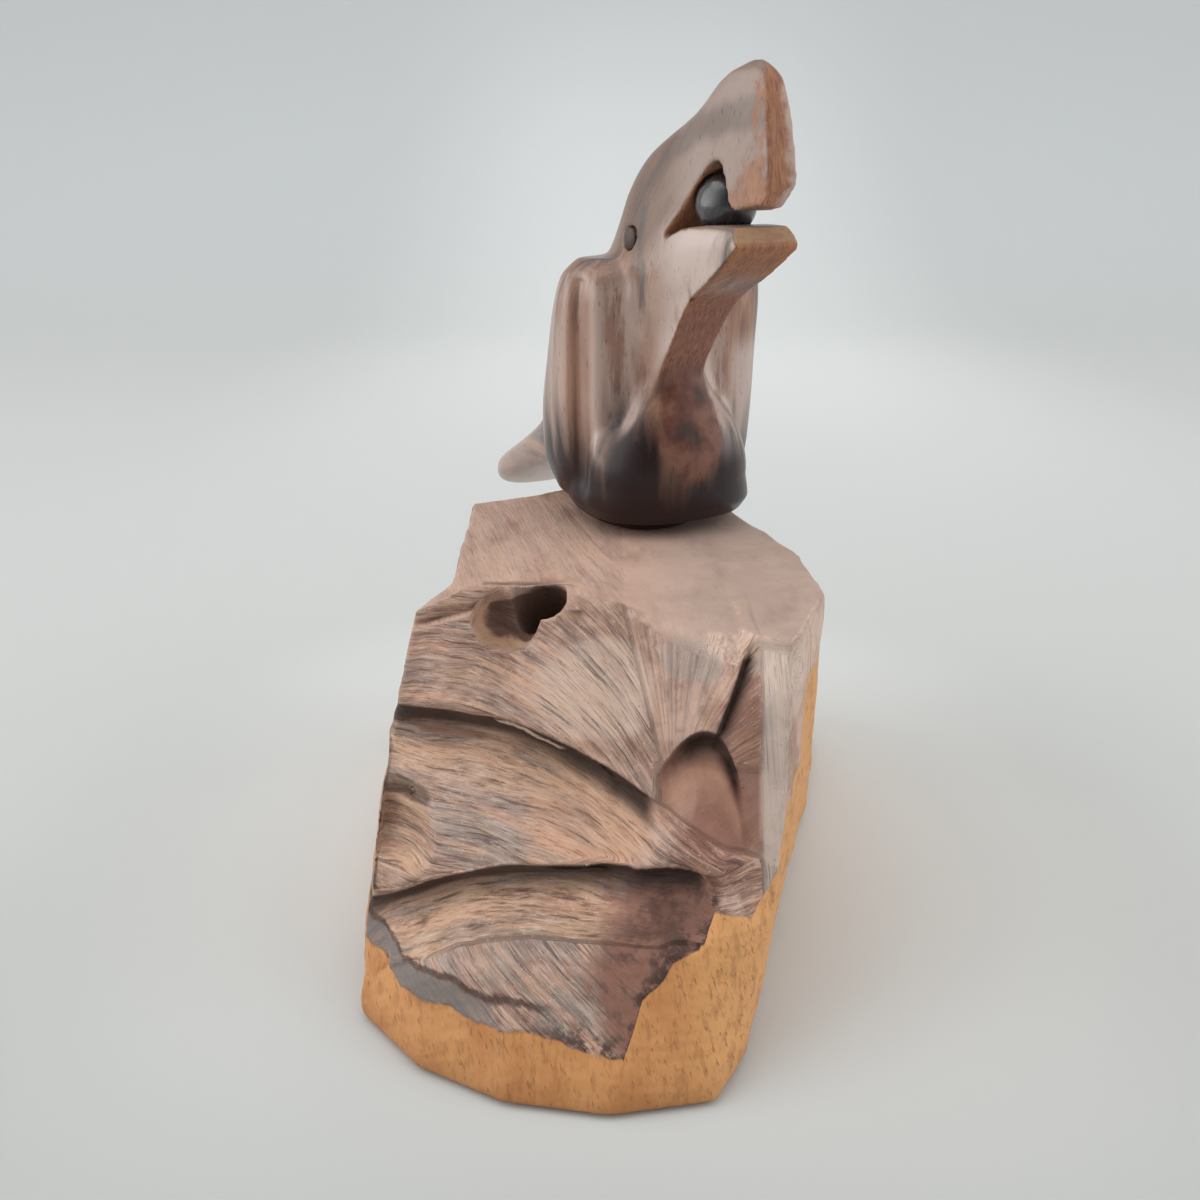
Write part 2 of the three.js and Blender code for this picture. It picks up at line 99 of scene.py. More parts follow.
class StageSettings(PropertyGroup):
    """Camera, floor and soft light."""

    camera_place: FloatVectorProperty(
        name="Camera place",
        description="Where the camera stands",
        subtype="TRANSLATION",
        unit="LENGTH",
        default=(-0.002, -0.1841, 0.1136),
    )
    camera_pitch: FloatProperty(
        name="Camera pitch",
        description="How far the camera looks down",
        subtype="ANGLE",
        default=math.radians(20),
    )
    camera_lens: FloatProperty(
        name="Lens", description="Focal length in millimetres", unit="CAMERA", default=36
    )
    floor: colour("Floor", (0.614, 0.63, 0.614), "Pale sheet that the carving stands on")
    wall: colour("Backdrop", (0.67, 0.7, 0.705), "The same sheet where it rises behind")
    # Painted glow: the sheet is paled round the carving and behind it.
    glow: colour("Glow", (0.88, 0.9, 0.895), "The brighter sheet close to the carving and behind it")
    dim_level: amount("Dim light", 0.22, "Light from everywhere")
    side_level: amount("Side light", 2.3, "Light from the tent's bright sides")
    top_level: amount("Sky light", 0.4, "Light from the tent's roof")
    key_power: FloatProperty(
        name="Top light", description="Power of the large lamp above", unit="POWER", default=1.8
    )


class BirdSettings(PropertyGroup):
    """The carved and polished bird."""

    voxel: length("Mesh size", 0.00038, "Edge length of the carved surface's mesh")
    triangles: most_triangles(190000)
    dark: colour("Dark streaks", (0.03, 0.017, 0.018), "Dark heartwood")
    # Partly dark heartwood and partly painted shade low on the body; it also darkens the breast's mottle.
    deep: colour("Deep brown", (0.02, 0.009, 0.0095), "Nearly black wood low on the body")
    brown: colour("Brown", (0.19, 0.09, 0.06), "Main heartwood")
    light: colour("Light streaks", (0.37, 0.2, 0.13), "Palest heartwood")
    head: colour("Head", (0.185, 0.135, 0.108), "Greyish brown of the head and bill")
    # Painted sheen: a pale colour laid on side-facing planes, ridges, the tail and the bill's raw faces,
    # standing in for the reflection of the tent's bright sides.
    painted_sheen: colour("Wax bloom", (0.62, 0.5, 0.445), "Pale waxed planes on the sides")
    slate: colour("Slate streak", (0.1, 0.085, 0.08), "Bluish dark streak up the bill")
    apron: colour("Breast", (0.118, 0.034, 0.021), "Reddish patch on the breast")
    cove: colour("Coves", (0.29, 0.14, 0.092), "Reddish brown in the wings' coves")
    raw: colour("Raw wood", (0.38, 0.178, 0.128), "Unpolished cut faces")
    raw_dark: colour("Raw wood pores", (0.175, 0.083, 0.06), "Dark fibres of the cut faces")
    raw_orange: colour("Torn wood", (0.5, 0.215, 0.088), "Orange torn fibres at the worn edges")
    raw_tan: colour("Sawn tip", (0.42, 0.27, 0.15), "End of the lower bill")
    roughness: FloatProperty(
        name="Roughness", description="Of the waxed surface", subtype="FACTOR", default=0.3
    )


class BaseSettings(PropertyGroup):
    """The rasped and chiselled block."""

    voxel: length("Mesh size", 0.00042, "Edge length of the hewn surface's mesh")
    triangles: most_triangles(195000)
    heart: colour("Heartwood", (0.36, 0.22, 0.16), "Rasped heartwood")
    heart_pink: colour("Pinkish heartwood", (0.6, 0.4, 0.315), "Paler rasped heartwood")
    heart_tan: colour("Tan heartwood", (0.58, 0.36, 0.23), "Yellowish ramps and scoops")
    heart_red: colour("Red heartwood", (0.26, 0.115, 0.08), "Reddish dark wood near the lower border")
    heart_orange: colour("Warm heartwood", (0.72, 0.42, 0.28), "Warm facet between the cuts")
    # Painted shade: near-black laid under the chisel lips and in the hollows and scoops where their shadow
    # falls.
    painted_shade: colour("Deep heartwood", (0.032, 0.016, 0.013), "Almost black wood under the lips")
    heart_dark: colour("Dark heartwood", (0.07, 0.034, 0.026), "Smooth dark patches and cut edges")
    heart_grey: colour("Grey heartwood", (0.4, 0.325, 0.285), "Weathered greyish heartwood")
    heart_blue: colour("Bluish heartwood", (0.2, 0.165, 0.155), "Bluish grey bands between the warm ones")
    heart_slate: colour("Slate stain", (0.19, 0.165, 0.155), "Bluish stain along the sapwood")
    # Painted sheen: pale grey on the right edge face, where the tent's bright side reflects.
    edge: colour("Grey edge", (0.62, 0.53, 0.47), "Weathered edge face at the right")
    fibre: colour("Torn fibres", (0.74, 0.58, 0.48), "Pale torn fibres between the rasp marks")
    sap: colour("Sapwood", (0.5, 0.215, 0.074), "Golden outer wood")
    sap_pale: colour("Pale sapwood", (0.67, 0.335, 0.13), "Paler golden wood")
    sap_dark: colour("Dark sapwood", (0.26, 0.105, 0.035), "Flecks in the golden wood")


class BallSettings(PropertyGroup):
    """The loose ball in the bill."""

    clearance: length("Clearance", 0.00005, "How much smaller than its solid the ball is drawn")
    dark: colour("Ball", (0.017, 0.015, 0.018), "Nearly black wood")
    streak: colour("Ball streaks", (0.05, 0.042, 0.046), "Faint paler grain")


class EyeSettings(PropertyGroup):
    """The domed plugs."""

    dark: colour("Eye", (0.08, 0.052, 0.043), "Dark brown wood")
    grain: colour("Eye grain", (0.11, 0.065, 0.05), "Paler grain of the plug")


class PegSettings(PropertyGroup):
    """The hidden dowels."""

    pale: colour("Peg", (0.52, 0.34, 0.17), "Plain dowel wood")
    grain: colour("Peg grain", (0.36, 0.2, 0.09), "Darker grain along the dowel")


class ToucanSettings(PropertyGroup):
    """All settings of the carving."""

    stage: PointerProperty(type=StageSettings)
    bird: PointerProperty(type=BirdSettings)
    base: PointerProperty(type=BaseSettings)
    ball: PointerProperty(type=BallSettings)
    eye: PointerProperty(type=EyeSettings)
    peg: PointerProperty(type=PegSettings)


def operation(name, reflected=False):
    """A method that takes one step of shader maths, with its own socket last where it is reflected."""

    def step(self, *others):
        inputs = (*others, self) if reflected else (self, *others)
        return self.shader.node("ShaderNodeMath", {"operation": name}, dict(enumerate(inputs)))

    return step


class Value:
    """A socket, so that shader maths is written as Python expressions."""

    __add__ = __radd__ = operation("ADD")
    __mul__ = __rmul__ = operation("MULTIPLY")
    __sub__ = operation("SUBTRACT")
    __rsub__ = operation("SUBTRACT", reflected=True)
    __truediv__ = operation("DIVIDE")
    __rtruediv__ = operation("DIVIDE", reflected=True)
    __pow__ = operation("POWER")
    __rpow__ = operation("POWER", reflected=True)
    __abs__ = operation("ABSOLUTE")
    root = operation("SQRT")
    angle = operation("ARCTAN2")  # of the direction (other, self), in radians
    least = operation("MINIMUM")
    most = operation("MAXIMUM")

    def __init__(self, shader, socket):
        self.shader = shader
        self.socket = socket

    def rise(self, low, high):
        """0 below low and 1 above high, with a soft step between; low may be above high for a fall."""
        sockets = {"Value": self, "From Min": low, "From Max": high}
        return self.shader.node("ShaderNodeMapRange", {"interpolation_type": "SMOOTHSTEP"}, sockets)


class Shader:
    """The node tree of one material or of the world."""

    def __init__(self, owner):
        owner.use_nodes = True
        self.owner = owner
        self.tone = None
        self.tree = owner.node_tree
        self.tree.nodes.clear()

    def node(self, kind, settings=None, sockets=None, output=0):
        """Makes a node, sets it up, fills its sockets with values or links, and gives one output."""
        made = self.tree.nodes.new(kind)
        for key, value in (settings or {}).items():
            if key == "stops":
                self.set_stops(made.color_ramp, value)
            else:
                setattr(made, key, value)
        for key, value in (sockets or {}).items():
            if isinstance(value, Value):
                self.tree.links.new(value.socket, made.inputs[key])
            else:
                made.inputs[key].default_value = value
        return None if output is None else Value(self, made.outputs[output])

    def set_stops(self, ramp, stops):
        while len(ramp.elements) < len(stops):
            ramp.elements.new(1.0)
        for element, (place, shade) in zip(ramp.elements, stops):
            element.position = place
            element.color = (*shade, 1.0)

    def coordinates(self, output="Object"):
        return self.node("ShaderNodeTexCoord", output=output)

    def placed(self, origin=(0, 0, 0), turn=(0, 0, 0), scale=(MM, MM, MM)):
        """Object coordinates in a frame of the piece's own, in millimetres by default."""
        settings = {"vector_type": "TEXTURE"}
        sockets = {"Vector": self.coordinates(), "Location": origin, "Rotation": turn, "Scale": scale}
        return self.node("ShaderNodeMapping", settings, sockets)

    def parts(self, vector):
        return [self.node("ShaderNodeSeparateXYZ", None, {0: vector}, output=i) for i in range(3)]

    def vector(self, x, y, z):
        return self.node("ShaderNodeCombineXYZ", None, {0: x, 1: y, 2: z})

    def noise(self, vector, scale=1.0, detail=3.0, roughness=0.5, distortion=0.0):
        sockets = {"Vector": vector, "Scale": scale, "Detail": detail, "Roughness": roughness}
        sockets["Distortion"] = distortion
        return self.node("ShaderNodeTexNoise", {"noise_dimensions": "3D"}, sockets)

    def ramp(self, value, stops):
        return self.node("ShaderNodeValToRGB", {"stops": stops}, {"Fac": value})

    def curve(self, value, points):
        """A line through a few points, read off at a value."""
        left, right = points[0][0], points[-1][0]
        low = min(height for _, height in points)
        high = max(height for _, height in points)
        shades = [((height - low) / (high - low),) * 3 for _, height in points]
        stops = [((place - left) / (right - left), shade) for (place, _), shade in zip(points, shades)]
        return self.ramp((value - left) / (right - left), stops) * (high - low) + low

    def band(self, value, middle, half):
        """1 where a value lies in the middle of a soft band and 0 outside it."""
        return abs(value - middle).rise(half, half * 0.3)

    def mix(self, share, first, second):
        """Mixes two colours."""
        settings = {"data_type": "RGBA", "clamp_factor": True}
        sockets = {0: share, 6: self.opaque(first), 7: self.opaque(second)}
        return self.node("ShaderNodeMix", settings, sockets, output=2)

    def lay(self, share, shade):
        """Lays a colour over the tone so far."""
        self.tone = self.mix(share, self.tone, shade)

    def opaque(self, shade):
        return shade if isinstance(shade, Value) else (*shade[:3], 1.0)

    def bump(self, height, distance, strength=1.0):
        sockets = {"Height": height, "Distance": distance, "Strength": strength}
        return self.node("ShaderNodeBump", None, sockets)

    def facing(self, direction):
        """How far the surface faces a direction, from -1 to 1."""
        normal = self.node("ShaderNodeNewGeometry", output="Normal")
        sockets = {0: normal, 1: direction}
        return self.node("ShaderNodeVectorMath", {"operation": "DOT_PRODUCT"}, sockets, output="Value")

    def surface(self, **sockets):
        """Ends a material in one principled surface."""
        named = {key.replace("_", " "): value for key, value in sockets.items()}
        shaded = self.node("ShaderNodeBsdfPrincipled", None, named)
        self.node("ShaderNodeOutputMaterial", None, {"Surface": shaded}, output=None)
        return self.owner


class Sculpt:
    """A piece's vertices in millimetres in a frame of their own, with the moves that shape them."""

    def __init__(self, piece, place):
        self.piece = piece
        self.spin = np.array(place.to_3x3())
        self.origin = np.array(place.translation)
        mesh = piece.data
        flat = np.empty(len(mesh.vertices) * 3)
        mesh.vertices.foreach_get("co", flat)
        self.points = (flat.reshape(-1, 3) - self.origin) @ np.linalg.inv(self.spin).T
        ends = np.empty(len(mesh.edges) * 2, np.int64)
        mesh.edges.foreach_get("vertices", ends)
        self.edges = ends.reshape(-1, 2)

    def store(self):
        moved = self.points @ self.spin.T + self.origin
        self.piece.data.vertices.foreach_set("co", moved.ravel())
        self.piece.data.update()

    def normals(self):
        """Unit normals of the stored surface, in the sculpt's frame."""
        self.store()
        flat = np.empty(len(self.points) * 3)
        self.piece.data.vertex_normals.foreach_get("vector", flat)
        turned = flat.reshape(-1, 3) @ self.spin
        return turned / np.linalg.norm(turned, axis=1, keepdims=True)

    def relax(self, weights, rounds):
        """Draws points towards their neighbours' mean, as sanding does."""
        first, second = self.edges[(weights[self.edges] > 0.01).any(1)].T
        many = len(self.points)
        count = np.bincount(first, minlength=many) + np.bincount(second, minlength=many)
        moved = np.nonzero((weights > 0.01) & (count > 0))[0]
        share = 0.5 * weights[moved, None] / count[moved, None]
        for _ in range(rounds):
            for axis in range(3):
                place = self.points[:, axis]
                pull = np.bincount(first, place[second] - place[first], many)
                pull += np.bincount(second, place[first] - place[second], many)
                self.points[moved, axis] += share[:, 0] * pull[moved]

    def push(self, amounts):
        """Moves points along their normals, outwards where the amount is positive."""
        self.points += self.normals() * amounts[:, None]

    def rough(self, size, stretch=(1, 1, 1)):
        """Smooth noise from -1 to 1 with features of about that size."""
        return np.array([noise.noise(p) for p in (self.points / size / np.array(stretch)).tolist()])

    def scallops(self, size, stretch=(1, 1, 1)):
        """Shallow gouge marks: 0 in the middle of each and up to about 1 on the ridges between them."""
        spots = (self.points / size / np.array(stretch)).tolist()
        return np.array([noise.voronoi(p)[0][0] for p in spots])

    def sink(self, amounts, direction):
        """Cuts straight into the surface against a direction, which keeps steps crisp."""
        self.points -= amounts[:, None] * np.array(direction)

    def shave(self, at, out, where=1.0):
        """Pares off what stands out of a plane."""
        out = np.array(out) / np.linalg.norm(out)
        proud = np.maximum((self.points - np.array(at)) @ out, 0) * where
        self.points -= proud[:, None] * out


def ease(values, low, high):
    """0 before low, 1 past high and a soft step between; low may be above high for a fall."""
    share = np.clip((values - low) / (high - low), 0, 1)
    return share * share * (3 - 2 * share)


def add_piece(name, made):
    """A new object in the scene with a bmesh's faces."""
    mesh = bpy.data.meshes.new(name)
    made.to_mesh(mesh)
    made.free()
    piece = bpy.data.objects.new(name, mesh)
    bpy.context.scene.collection.objects.link(piece)
    return piece


def finished(piece, material, body, slot, *nodes):
    """Gives a piece its material, smooth shading and place in the frame."""
    piece.data.materials.clear()
    piece.data.materials.append(material)
    piece.data.shade_smooth()
    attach(piece, body)
    if nodes:
        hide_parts(*nodes)


def merged_copy(node, name):
    """A new object with a CAD node's mesh, its loose triangles joined."""
    made = bmesh.new()
    made.from_mesh(frame["nodes"][node].data)
    bmesh.ops.remove_doubles(made, verts=made.verts, dist=1e-6)
    return add_piece(name, made)


def apply_modifiers(piece):
    """Replaces the mesh by what its modifiers make of it."""
    bpy.context.view_layer.update()
    shown = piece.evaluated_get(bpy.context.evaluated_depsgraph_get())
    mesh = bpy.data.meshes.new_from_object(shown)
    piece.modifiers.clear()
    piece.data = mesh


def remesh(piece, voxel):
    """Wraps the piece in an even mesh that is fine enough to carve."""
    wrap = piece.modifiers.new("wrap", "REMESH")
    wrap.mode = "VOXEL"
    wrap.voxel_size = voxel
    apply_modifiers(piece)


def thin_out(piece, triangles, keep):
    """Brings a mesh under a number of triangles, mostly where keep is low."""
    piece.data.calc_loop_triangles()
    have = len(piece.data.loop_triangles)
    if have <= triangles:
        return
    group = piece.vertex_groups.new(name="thin")
    levels = np.round(1 - keep, 1)
    for level in np.unique(levels):
        group.add(np.nonzero(levels == level)[0].tolist(), float(level), "REPLACE")
    thin = piece.modifiers.new("thin", "DECIMATE")
    thin.ratio = triangles / have
    thin.vertex_group = "thin"
    thin.vertex_group_factor = 4.0
    apply_modifiers(piece)
    piece.vertex_groups.clear()


# Bird

THROAT_FOOT = 28.5  # height where the flat throat strip runs out into the breast
THROAT_REACH = 11.0  # how far forward the strip stands there
STRIP_HALF = 4.3  # half the strip's width
# Coves down each wing's front and the ridge between them: forward and sideways place, width and depth
FLUTES = (((0.6, 14.9), 1.9, 1.2), ((3.7, 12.4), 1.1, -0.45), ((6.6, 8.6), 2.0, 0.8))
BIRD_LEFT = (BIRD_SPIN @ Vector((0, 1, 0))).to_tuple()
BIRD_RIGHT_FRONT = (BIRD_SPIN @ Vector((0.75, 0.66, 0))).to_tuple()
BIRD_AHEAD = (BIRD_SPIN @ Vector((1, 0, 0))).to_tuple()
BILL_TEAR_AT = (35.2, 0.0, 56.0)  # the upper bill's torn lower corner
BILL_TEAR_OUT = (0.7, 0.25, -0.67)


def carve_bird(piece, settings):
    """Sands the joined forms into one flowing body and keeps the bill and throat crisp."""
    remesh(piece, settings.voxel)
    shape = Sculpt(piece, BIRD_PLACE)
    shape.relax(np.ones(len(shape.points)), 3)
    u, v, w = shape.points.T
    reach = THROAT_REACH + (w - THROAT_FOOT)
    edge = np.exp(-(((np.abs(v) - STRIP_HALF) / 2.2) ** 2))
    strip = edge * ease(w, THROAT_FOOT - 6, THROAT_FOOT) * ease(u, reach - 7, reach - 3)
    body = ease(w, 46, 40) * ease(w, 2, 9)
    nape = ease(w, 56, 47) * ease(u, 4, -2) * ease(w, 38, 42)
    shape.relax(np.maximum(0.7 * body * (1 - strip), nape), 22)
    crease = np.exp(-(((np.abs(v) - 7.5) / 3.5) ** 2) - ((w - 24.5) / 5) ** 2) * ease(u, 1, 4)
    shape.relax(crease, 90)
    spread = ease(w, 9, 0) * ease(u, -14, -8)
    shape.points[:, 1] *= 1 + (0.12 + 0.14 * ease(v, -4, 4)) * spread
    shape.points[:, 0] += 0.08 * (u - 2) * spread
    flute(shape)
    wear_bill(shape)
    shape.push(0.1 * shape.rough(9, (1, 1, 2)) * ease(w, 0.5, 4))
    shape.store()
    thin_out(piece, settings.triangles, np.full(len(shape.points), 0.5))


def flute(shape):
    """Hollows the wings' front corners into long shallow coves with a ridge between them."""
    u, v, w = shape.points.T
    along = ease(w, 3, 10) * ease(w, 45.5, 42)
    for at, width, depth in FLUTES:
        across = np.hypot(u - at[0], np.abs(v) - at[1])
        shape.push(-depth * along * np.exp(-((across / width) ** 2)))


def wear_bill(shape):
    """Rounds the end of the bill, tears its lower corner and roughens the raw faces."""
    u, v, w = shape.points.T
    upper = ease(w, 52, 54)
    shape.relax(ease(u, 29, 32) * upper, 10)
    shape.shave(BILL_TEAR_AT, BILL_TEAR_OUT, upper * ease(u, 30, 32))
    torn = ease(u, 33.5, 35.5) * ease(w, 61, 57) * upper
    shape.push(0.22 * shape.rough(1.1, (1, 1, 0.6)) * torn)
    end = ease(u, 32, 34) * upper
    shape.push(0.12 * shape.rough(1.6, (1, 1, 2.5)) * end)
    reach = THROAT_REACH + w - THROAT_FOOT
    throat = ease(np.abs(v), 5.5, 4.5) * ease(u, reach - 2, reach)
    shape.push(0.07 * shape.rough(1.3, (2, 1, 2)) * throat * ease(w, 26, 30) * (1 - upper))


def polished_heartwood(settings):
    """Waxed heartwood with dark streaks that run up the bird, and raw cut faces at the throat and bill, with
    painted sheen on side-facing planes and partly painted shade low on the body.
    """
    wood = Shader(bpy.data.materials.new("polished_heartwood"))
    place = wood.placed(BIRD_ORIGIN, (0, 0, BIRD_TURN))
    u, v, w = wood.parts(place)
    front = wood.facing(BIRD_AHEAD)
    side = abs(wood.facing(BIRD_LEFT))
    sweep = (w - 30).most(0)
    tail = u.rise(-16, -20) * (w - u * 0.6 - 27).rise(5, 1)
    lean = wood.vector((u - sweep * sweep * 0.012) * (1 - tail * 0.9), v, w * (0.06 + tail * 0.8))
    streaks = wood.noise(lean, 0.2, 4, 0.58, 0.5)
    fine = wood.noise(lean, 1.5, 3, 0.6)
    pores = wood.noise(wood.vector(u, v, w * 0.16), 3.2, 2, 0.5)
    stain = wood.noise(wood.vector(u, v, w * 0.35), 0.16, 4, 0.6) - 0.5

    wood.tone = wood.ramp(
        streaks + (fine - 0.5) * 0.2,
        [(0.32, settings.dark), (0.43, settings.brown), (0.56, settings.light), (0.7, settings.brown)],
    )
    wood.lay(w.rise(40, 52) * 0.7, settings.head)
    # Painted sheen: pale colour on planes that face sideways, on the neck's side plane and on the right
    # wing's front, where the glossy wax would reflect the tent's bright sides.
    plane = (u - w * 0.35 + stain * 6).rise(-8, 3) * w.rise(20, 34)
    painted_sheen = side.rise(0.78, 0.97) * (abs(v).rise(12, 14.5) * 0.5).most(plane * 0.95) * w.rise(56, 50)
    turned = wood.facing(BIRD_RIGHT_FRONT).rise(0.75, 0.95) * w.rise(9, 14) * w.rise(34, 28) * v.rise(2, 6)
    painted_sheen = painted_sheen.most(turned * 0.7) * (streaks + stain).rise(0.1, 0.5) * w.rise(8, 16)
    wood.lay(painted_sheen, settings.painted_sheen)
    # Painted highlight along the ridge between each wing's two coves, which is also kept out of the dark low
    # zone below.
    ridge = wood.band(abs(v), 12.2, 1.6) * wood.band(u, 3.8, 2.4) * w.rise(44, 40)
    wood.lay(ridge * w.rise(8, 16) * 0.6, settings.painted_sheen)
    cove = wood.band(abs(v) + stain * 2, 14.6, 1.8) * wood.band(u, 1.2, 2.6) * w.rise(43, 38)
    hollow = wood.band(abs(v) + stain * 3, 8.8, 3.6) * wood.band(u, 6, 5) * w.rise(46, 40) * w.rise(12, 20)
    murk = (fine * 0.3 + streaks * 0.7 + stain * 1.4).rise(0.5, 0.36)
    wood.lay(cove * 0.65, settings.cove)
    wood.lay(cove * murk * 0.7, settings.dark)
    # Painted light: the self-shaded hollow between each wing and the neck is lifted towards the painted sheen
    # colour.
    wood.lay(hollow * 0.85, wood.mix(murk * 0.55 + 0.3, settings.painted_sheen, settings.cove))
    # Painted sheen on the sides of the head and bill, and on the tail.
    wood.lay(side.rise(0.7, 0.95) * u.rise(10, 20) * w.rise(53, 56) * 0.34, settings.painted_sheen)
    wood.lay(u.rise(-18, -36) * 0.5, settings.painted_sheen)

    neck = wood.band(u + stain * 6 - w.rise(52, 44) * 2.2, 6.2, 2.6)
    neck = neck * w.rise(33, 39) * w.rise(62, 55) * v.rise(-3, -5)
    wood.lay(neck * (0.3 + murk * 0.5), settings.slate)
    swoop = w - 68 + 9 * math.e ** ((u - 10) * -0.125)
    wood.lay(wood.band(swoop + stain * 5, 0, 3.2) * u.rise(5, 10) * 0.45, settings.slate)
    # Darker towards the bottom of the body, on its lower front lobes and in a band across its front: partly
    # dark heartwood, partly painted shade where the body curves under towards the block.
    ragged = w + stain * 8 + (streaks - 0.5) * 26
    low = (ragged + ridge * 5).rise(27, 7) * u.rise(-20, -12)
    lobe = v.rise(-3.5, -6.5) * ragged.rise(31, 17) * front.rise(0.15, 0.45) * u.rise(3, 6)
    knee = wood.band(w + stain * 8, 27, 4.5) * front.rise(0.4, 0.7) * abs(v).rise(6.5, 4.5) * 0.75
    dim = low.most(lobe).most(knee)
    wood.lay(dim, settings.deep)
    across = (v - 0.5) / 6
    above = (w - 18) / 9.5
    apron = (across * across + above * above + stain * 1.6 + (fine - 0.5) * 0.6).rise(1.2, 0.7)
    apron = apron * front.rise(0.5, 0.75)
    mottle = wood.noise(place, 0.25, 3, 0.5)
    breast = wood.mix(mottle.rise(0.48, 0.66) * 0.5, settings.apron, settings.cove)
    breast = wood.mix(mottle.rise(0.52, 0.32) * 0.85, breast, settings.deep)
    wood.lay(apron * 0.9, breast)

    threads = wood.noise(wood.vector(u * 0.3, v, w * 0.12), 3.2, 4, 0.7)
    lip = wood.noise(place, 0.35, 4, 0.6)
    raw_tone = wood.mix(threads.rise(0.3, 0.7), settings.raw_dark, settings.raw)
    warm = w.rise(34, 47) * 0.6 + (lip - 0.5) * 1.2 + abs(v).rise(3.2, 4.2) * 0.25
    raw_tone = wood.mix(warm.rise(0.1, 0.9) * threads.rise(0.2, 0.7), raw_tone, settings.raw_orange)
    # Painted sheen on one half of the upper bill's raw faces.
    raw_tone = wood.mix((v + (lip - 0.5) * 5).rise(0, 2) * w.rise(53, 55) * 0.7, raw_tone, settings.painted_sheen)
    grain = wood.noise(wood.vector(u * 0.3, v * 0.3, w), 2.4, 2, 0.5)
    tip = wood.facing((0, 0, 1)).rise(0.2, 0.4) * w.rise(49.3, 49.7) * w.rise(52.8, 52.4)
    sawn = wood.mix(grain.rise(0.52, 0.4) * 0.7, settings.raw_tan, settings.raw)
    raw_tone = wood.mix(tip * 0.9, raw_tone, sawn)
    raw = front.rise(0.42, 0.6) * abs(v).rise(6.8, 5.8) * w.rise(24, 31)
    rubbed = (lip * 1.4 + u.rise(24, 34) * 0.55 + w.rise(63, 55) * 0.35).rise(1.15, 1.4) * w.rise(53.5, 54.5)
    raw = raw.most(rubbed * 0.75)
    wood.lay(raw * 0.92, raw_tone)
    wood.lay(pores.rise(0.62, 0.75) * 0.5 * (1 - raw), settings.dark)
    roughness = streaks * 0.12 + raw * 0.42 + apron * (1 - raw) * 0.2 + (settings.roughness - 0.06)
    height = fine * 0.4 + pores * 0.3 + threads * raw * 3
    return wood.surface(
        Base_Color=wood.tone,
        Roughness=roughness,
        Normal=wood.bump(height, 0.0001, 0.5),
        Coat_Weight=(1 - raw) * (1 - dim.most(w.rise(48, 54)).most(apron)) * 0.35,
        Coat_Roughness=0.2,
        Specular_IOR_Level=0.35,
    )


# Base

LOG_PITH = (-12.0, 45.0)  # x and z of the log's middle, whose grain runs along Y
HEART_RADIUS = 38.7
FACE_OUT = (-0.05, -0.83, 0.55)  # the hewn front's outward direction
UPPER_LIP = (41.2, 0.24, 13.0, 30.0)  # height at the left, half the slope at the right, bend and its softness
LOWER_LIP = (25.0, 0.0165, 9.0)  # height at the right, droop at the left and where that starts
# Smooth scoops on the front: middle x and z, half sizes and depth
SCOOPS = (((-30.0, 26.5), (5.5, 5.0), 2.6), ((-5.0, 29.0), (9.0, 4.5), 0.5), ((9.0, 20.5), (4.5, 4.0), 1.6))
# Wedges that fill the long scoops to straight ramps: x, then y and z of the lower edge and of the root
UPPER_RAMP = (
    (-32.6, -32.2, 31.0, -25.8, 36.5), (-28, -35.7, 31.2, -26.9, 37.5), (-20, -38.9, 31.2, -28.1, 37.0),
    (-12, -41.9, 29.3, -30.8, 36.0), (-8, -43.5, 27.4, -32.1, 35.0), (-4, -44.8, 25.3, -33.8, 34.0),
    (0, -44.7, 25.0, -36.4, 33.5),
)
LOWER_RAMP = (
    (-32, -45.3, 8.3, -36.4, 13.0), (-28, -48.2, 11.3, -37.8, 16.0), (-24, -50.0, 13.3, -39.0, 18.0),
    (-20, -50.3, 15.3, -40.3, 20.0), (-16, -51.0, 16.4, -41.0, 21.0), (-12, -51.7, 16.6, -42.0, 22.0),
    (-6, -51.5, 17.3, -43.0, 22.8), (0, -52.3, 16.8, -44.5, 23.8), (4, -52.5, 17.0, -45.5, 24.9),
    (14.8, -52.0, 17.4, -46.7, 25.0),
)
RIGHT_RAMP = (
    (13.5, -49.6, 21.6, -46.4, 26.5), (16, -49.7, 20.8, -44.0, 27.0), (18, -49.5, 19.0, -43.3, 26.0),
    (20.5, -48.3, 18.0, -43.3, 25.0),
)
MOON_TOP = (13.4, 40.4)  # x and z of the top of a half-moon hollow
MOON_REACH = (7.3, 3.4)  # how far it spreads to the left and right
MOON_DROP = 5.0
TROUGH_AT = (14.3, 41.5)  # x and z on the edge of a trough at the right, and how that edge leans
TROUGH_SLOPE = 0.42
FAN_AT = (6.0, 38.0)  # x and z on the edge of a fan-shaped facet, and how that edge leans
FAN_SLOPE = 0.3
STRAND_END = -16.5  # left end of a torn strand, how far under the upper lip it lies there and its slope
STRAND_DROP = 0.3
STRAND_SLOPE = 0.12
CRACK = ((-28.5, 51.6), (-16.5, 55.0))  # x and z of the ends of a crack under the brow
KNOT_AT = (-10.75, -18.5, 53.0)  # mouth of the knot hole and the direction it runs in
KNOT_LEAN = (0.3, 0.45, -0.84)
# Where sapwood begins on the front: x, and height up the slope
SAP_EDGE = (
    (-36, -13), (-33, -15.5), (-29, -19.6), (-26, -21.3), (-22, -22.3), (-17, -24.3),
    (-12, -24.8), (-7, -26.2), (-2, -27.6), (1, -28.4), (3.5, -21), (8, -16.3),
    (11.7, -13.9), (13, -9.8), (17.8, -10.8), (21.6, -5.6), (28, 10),
)


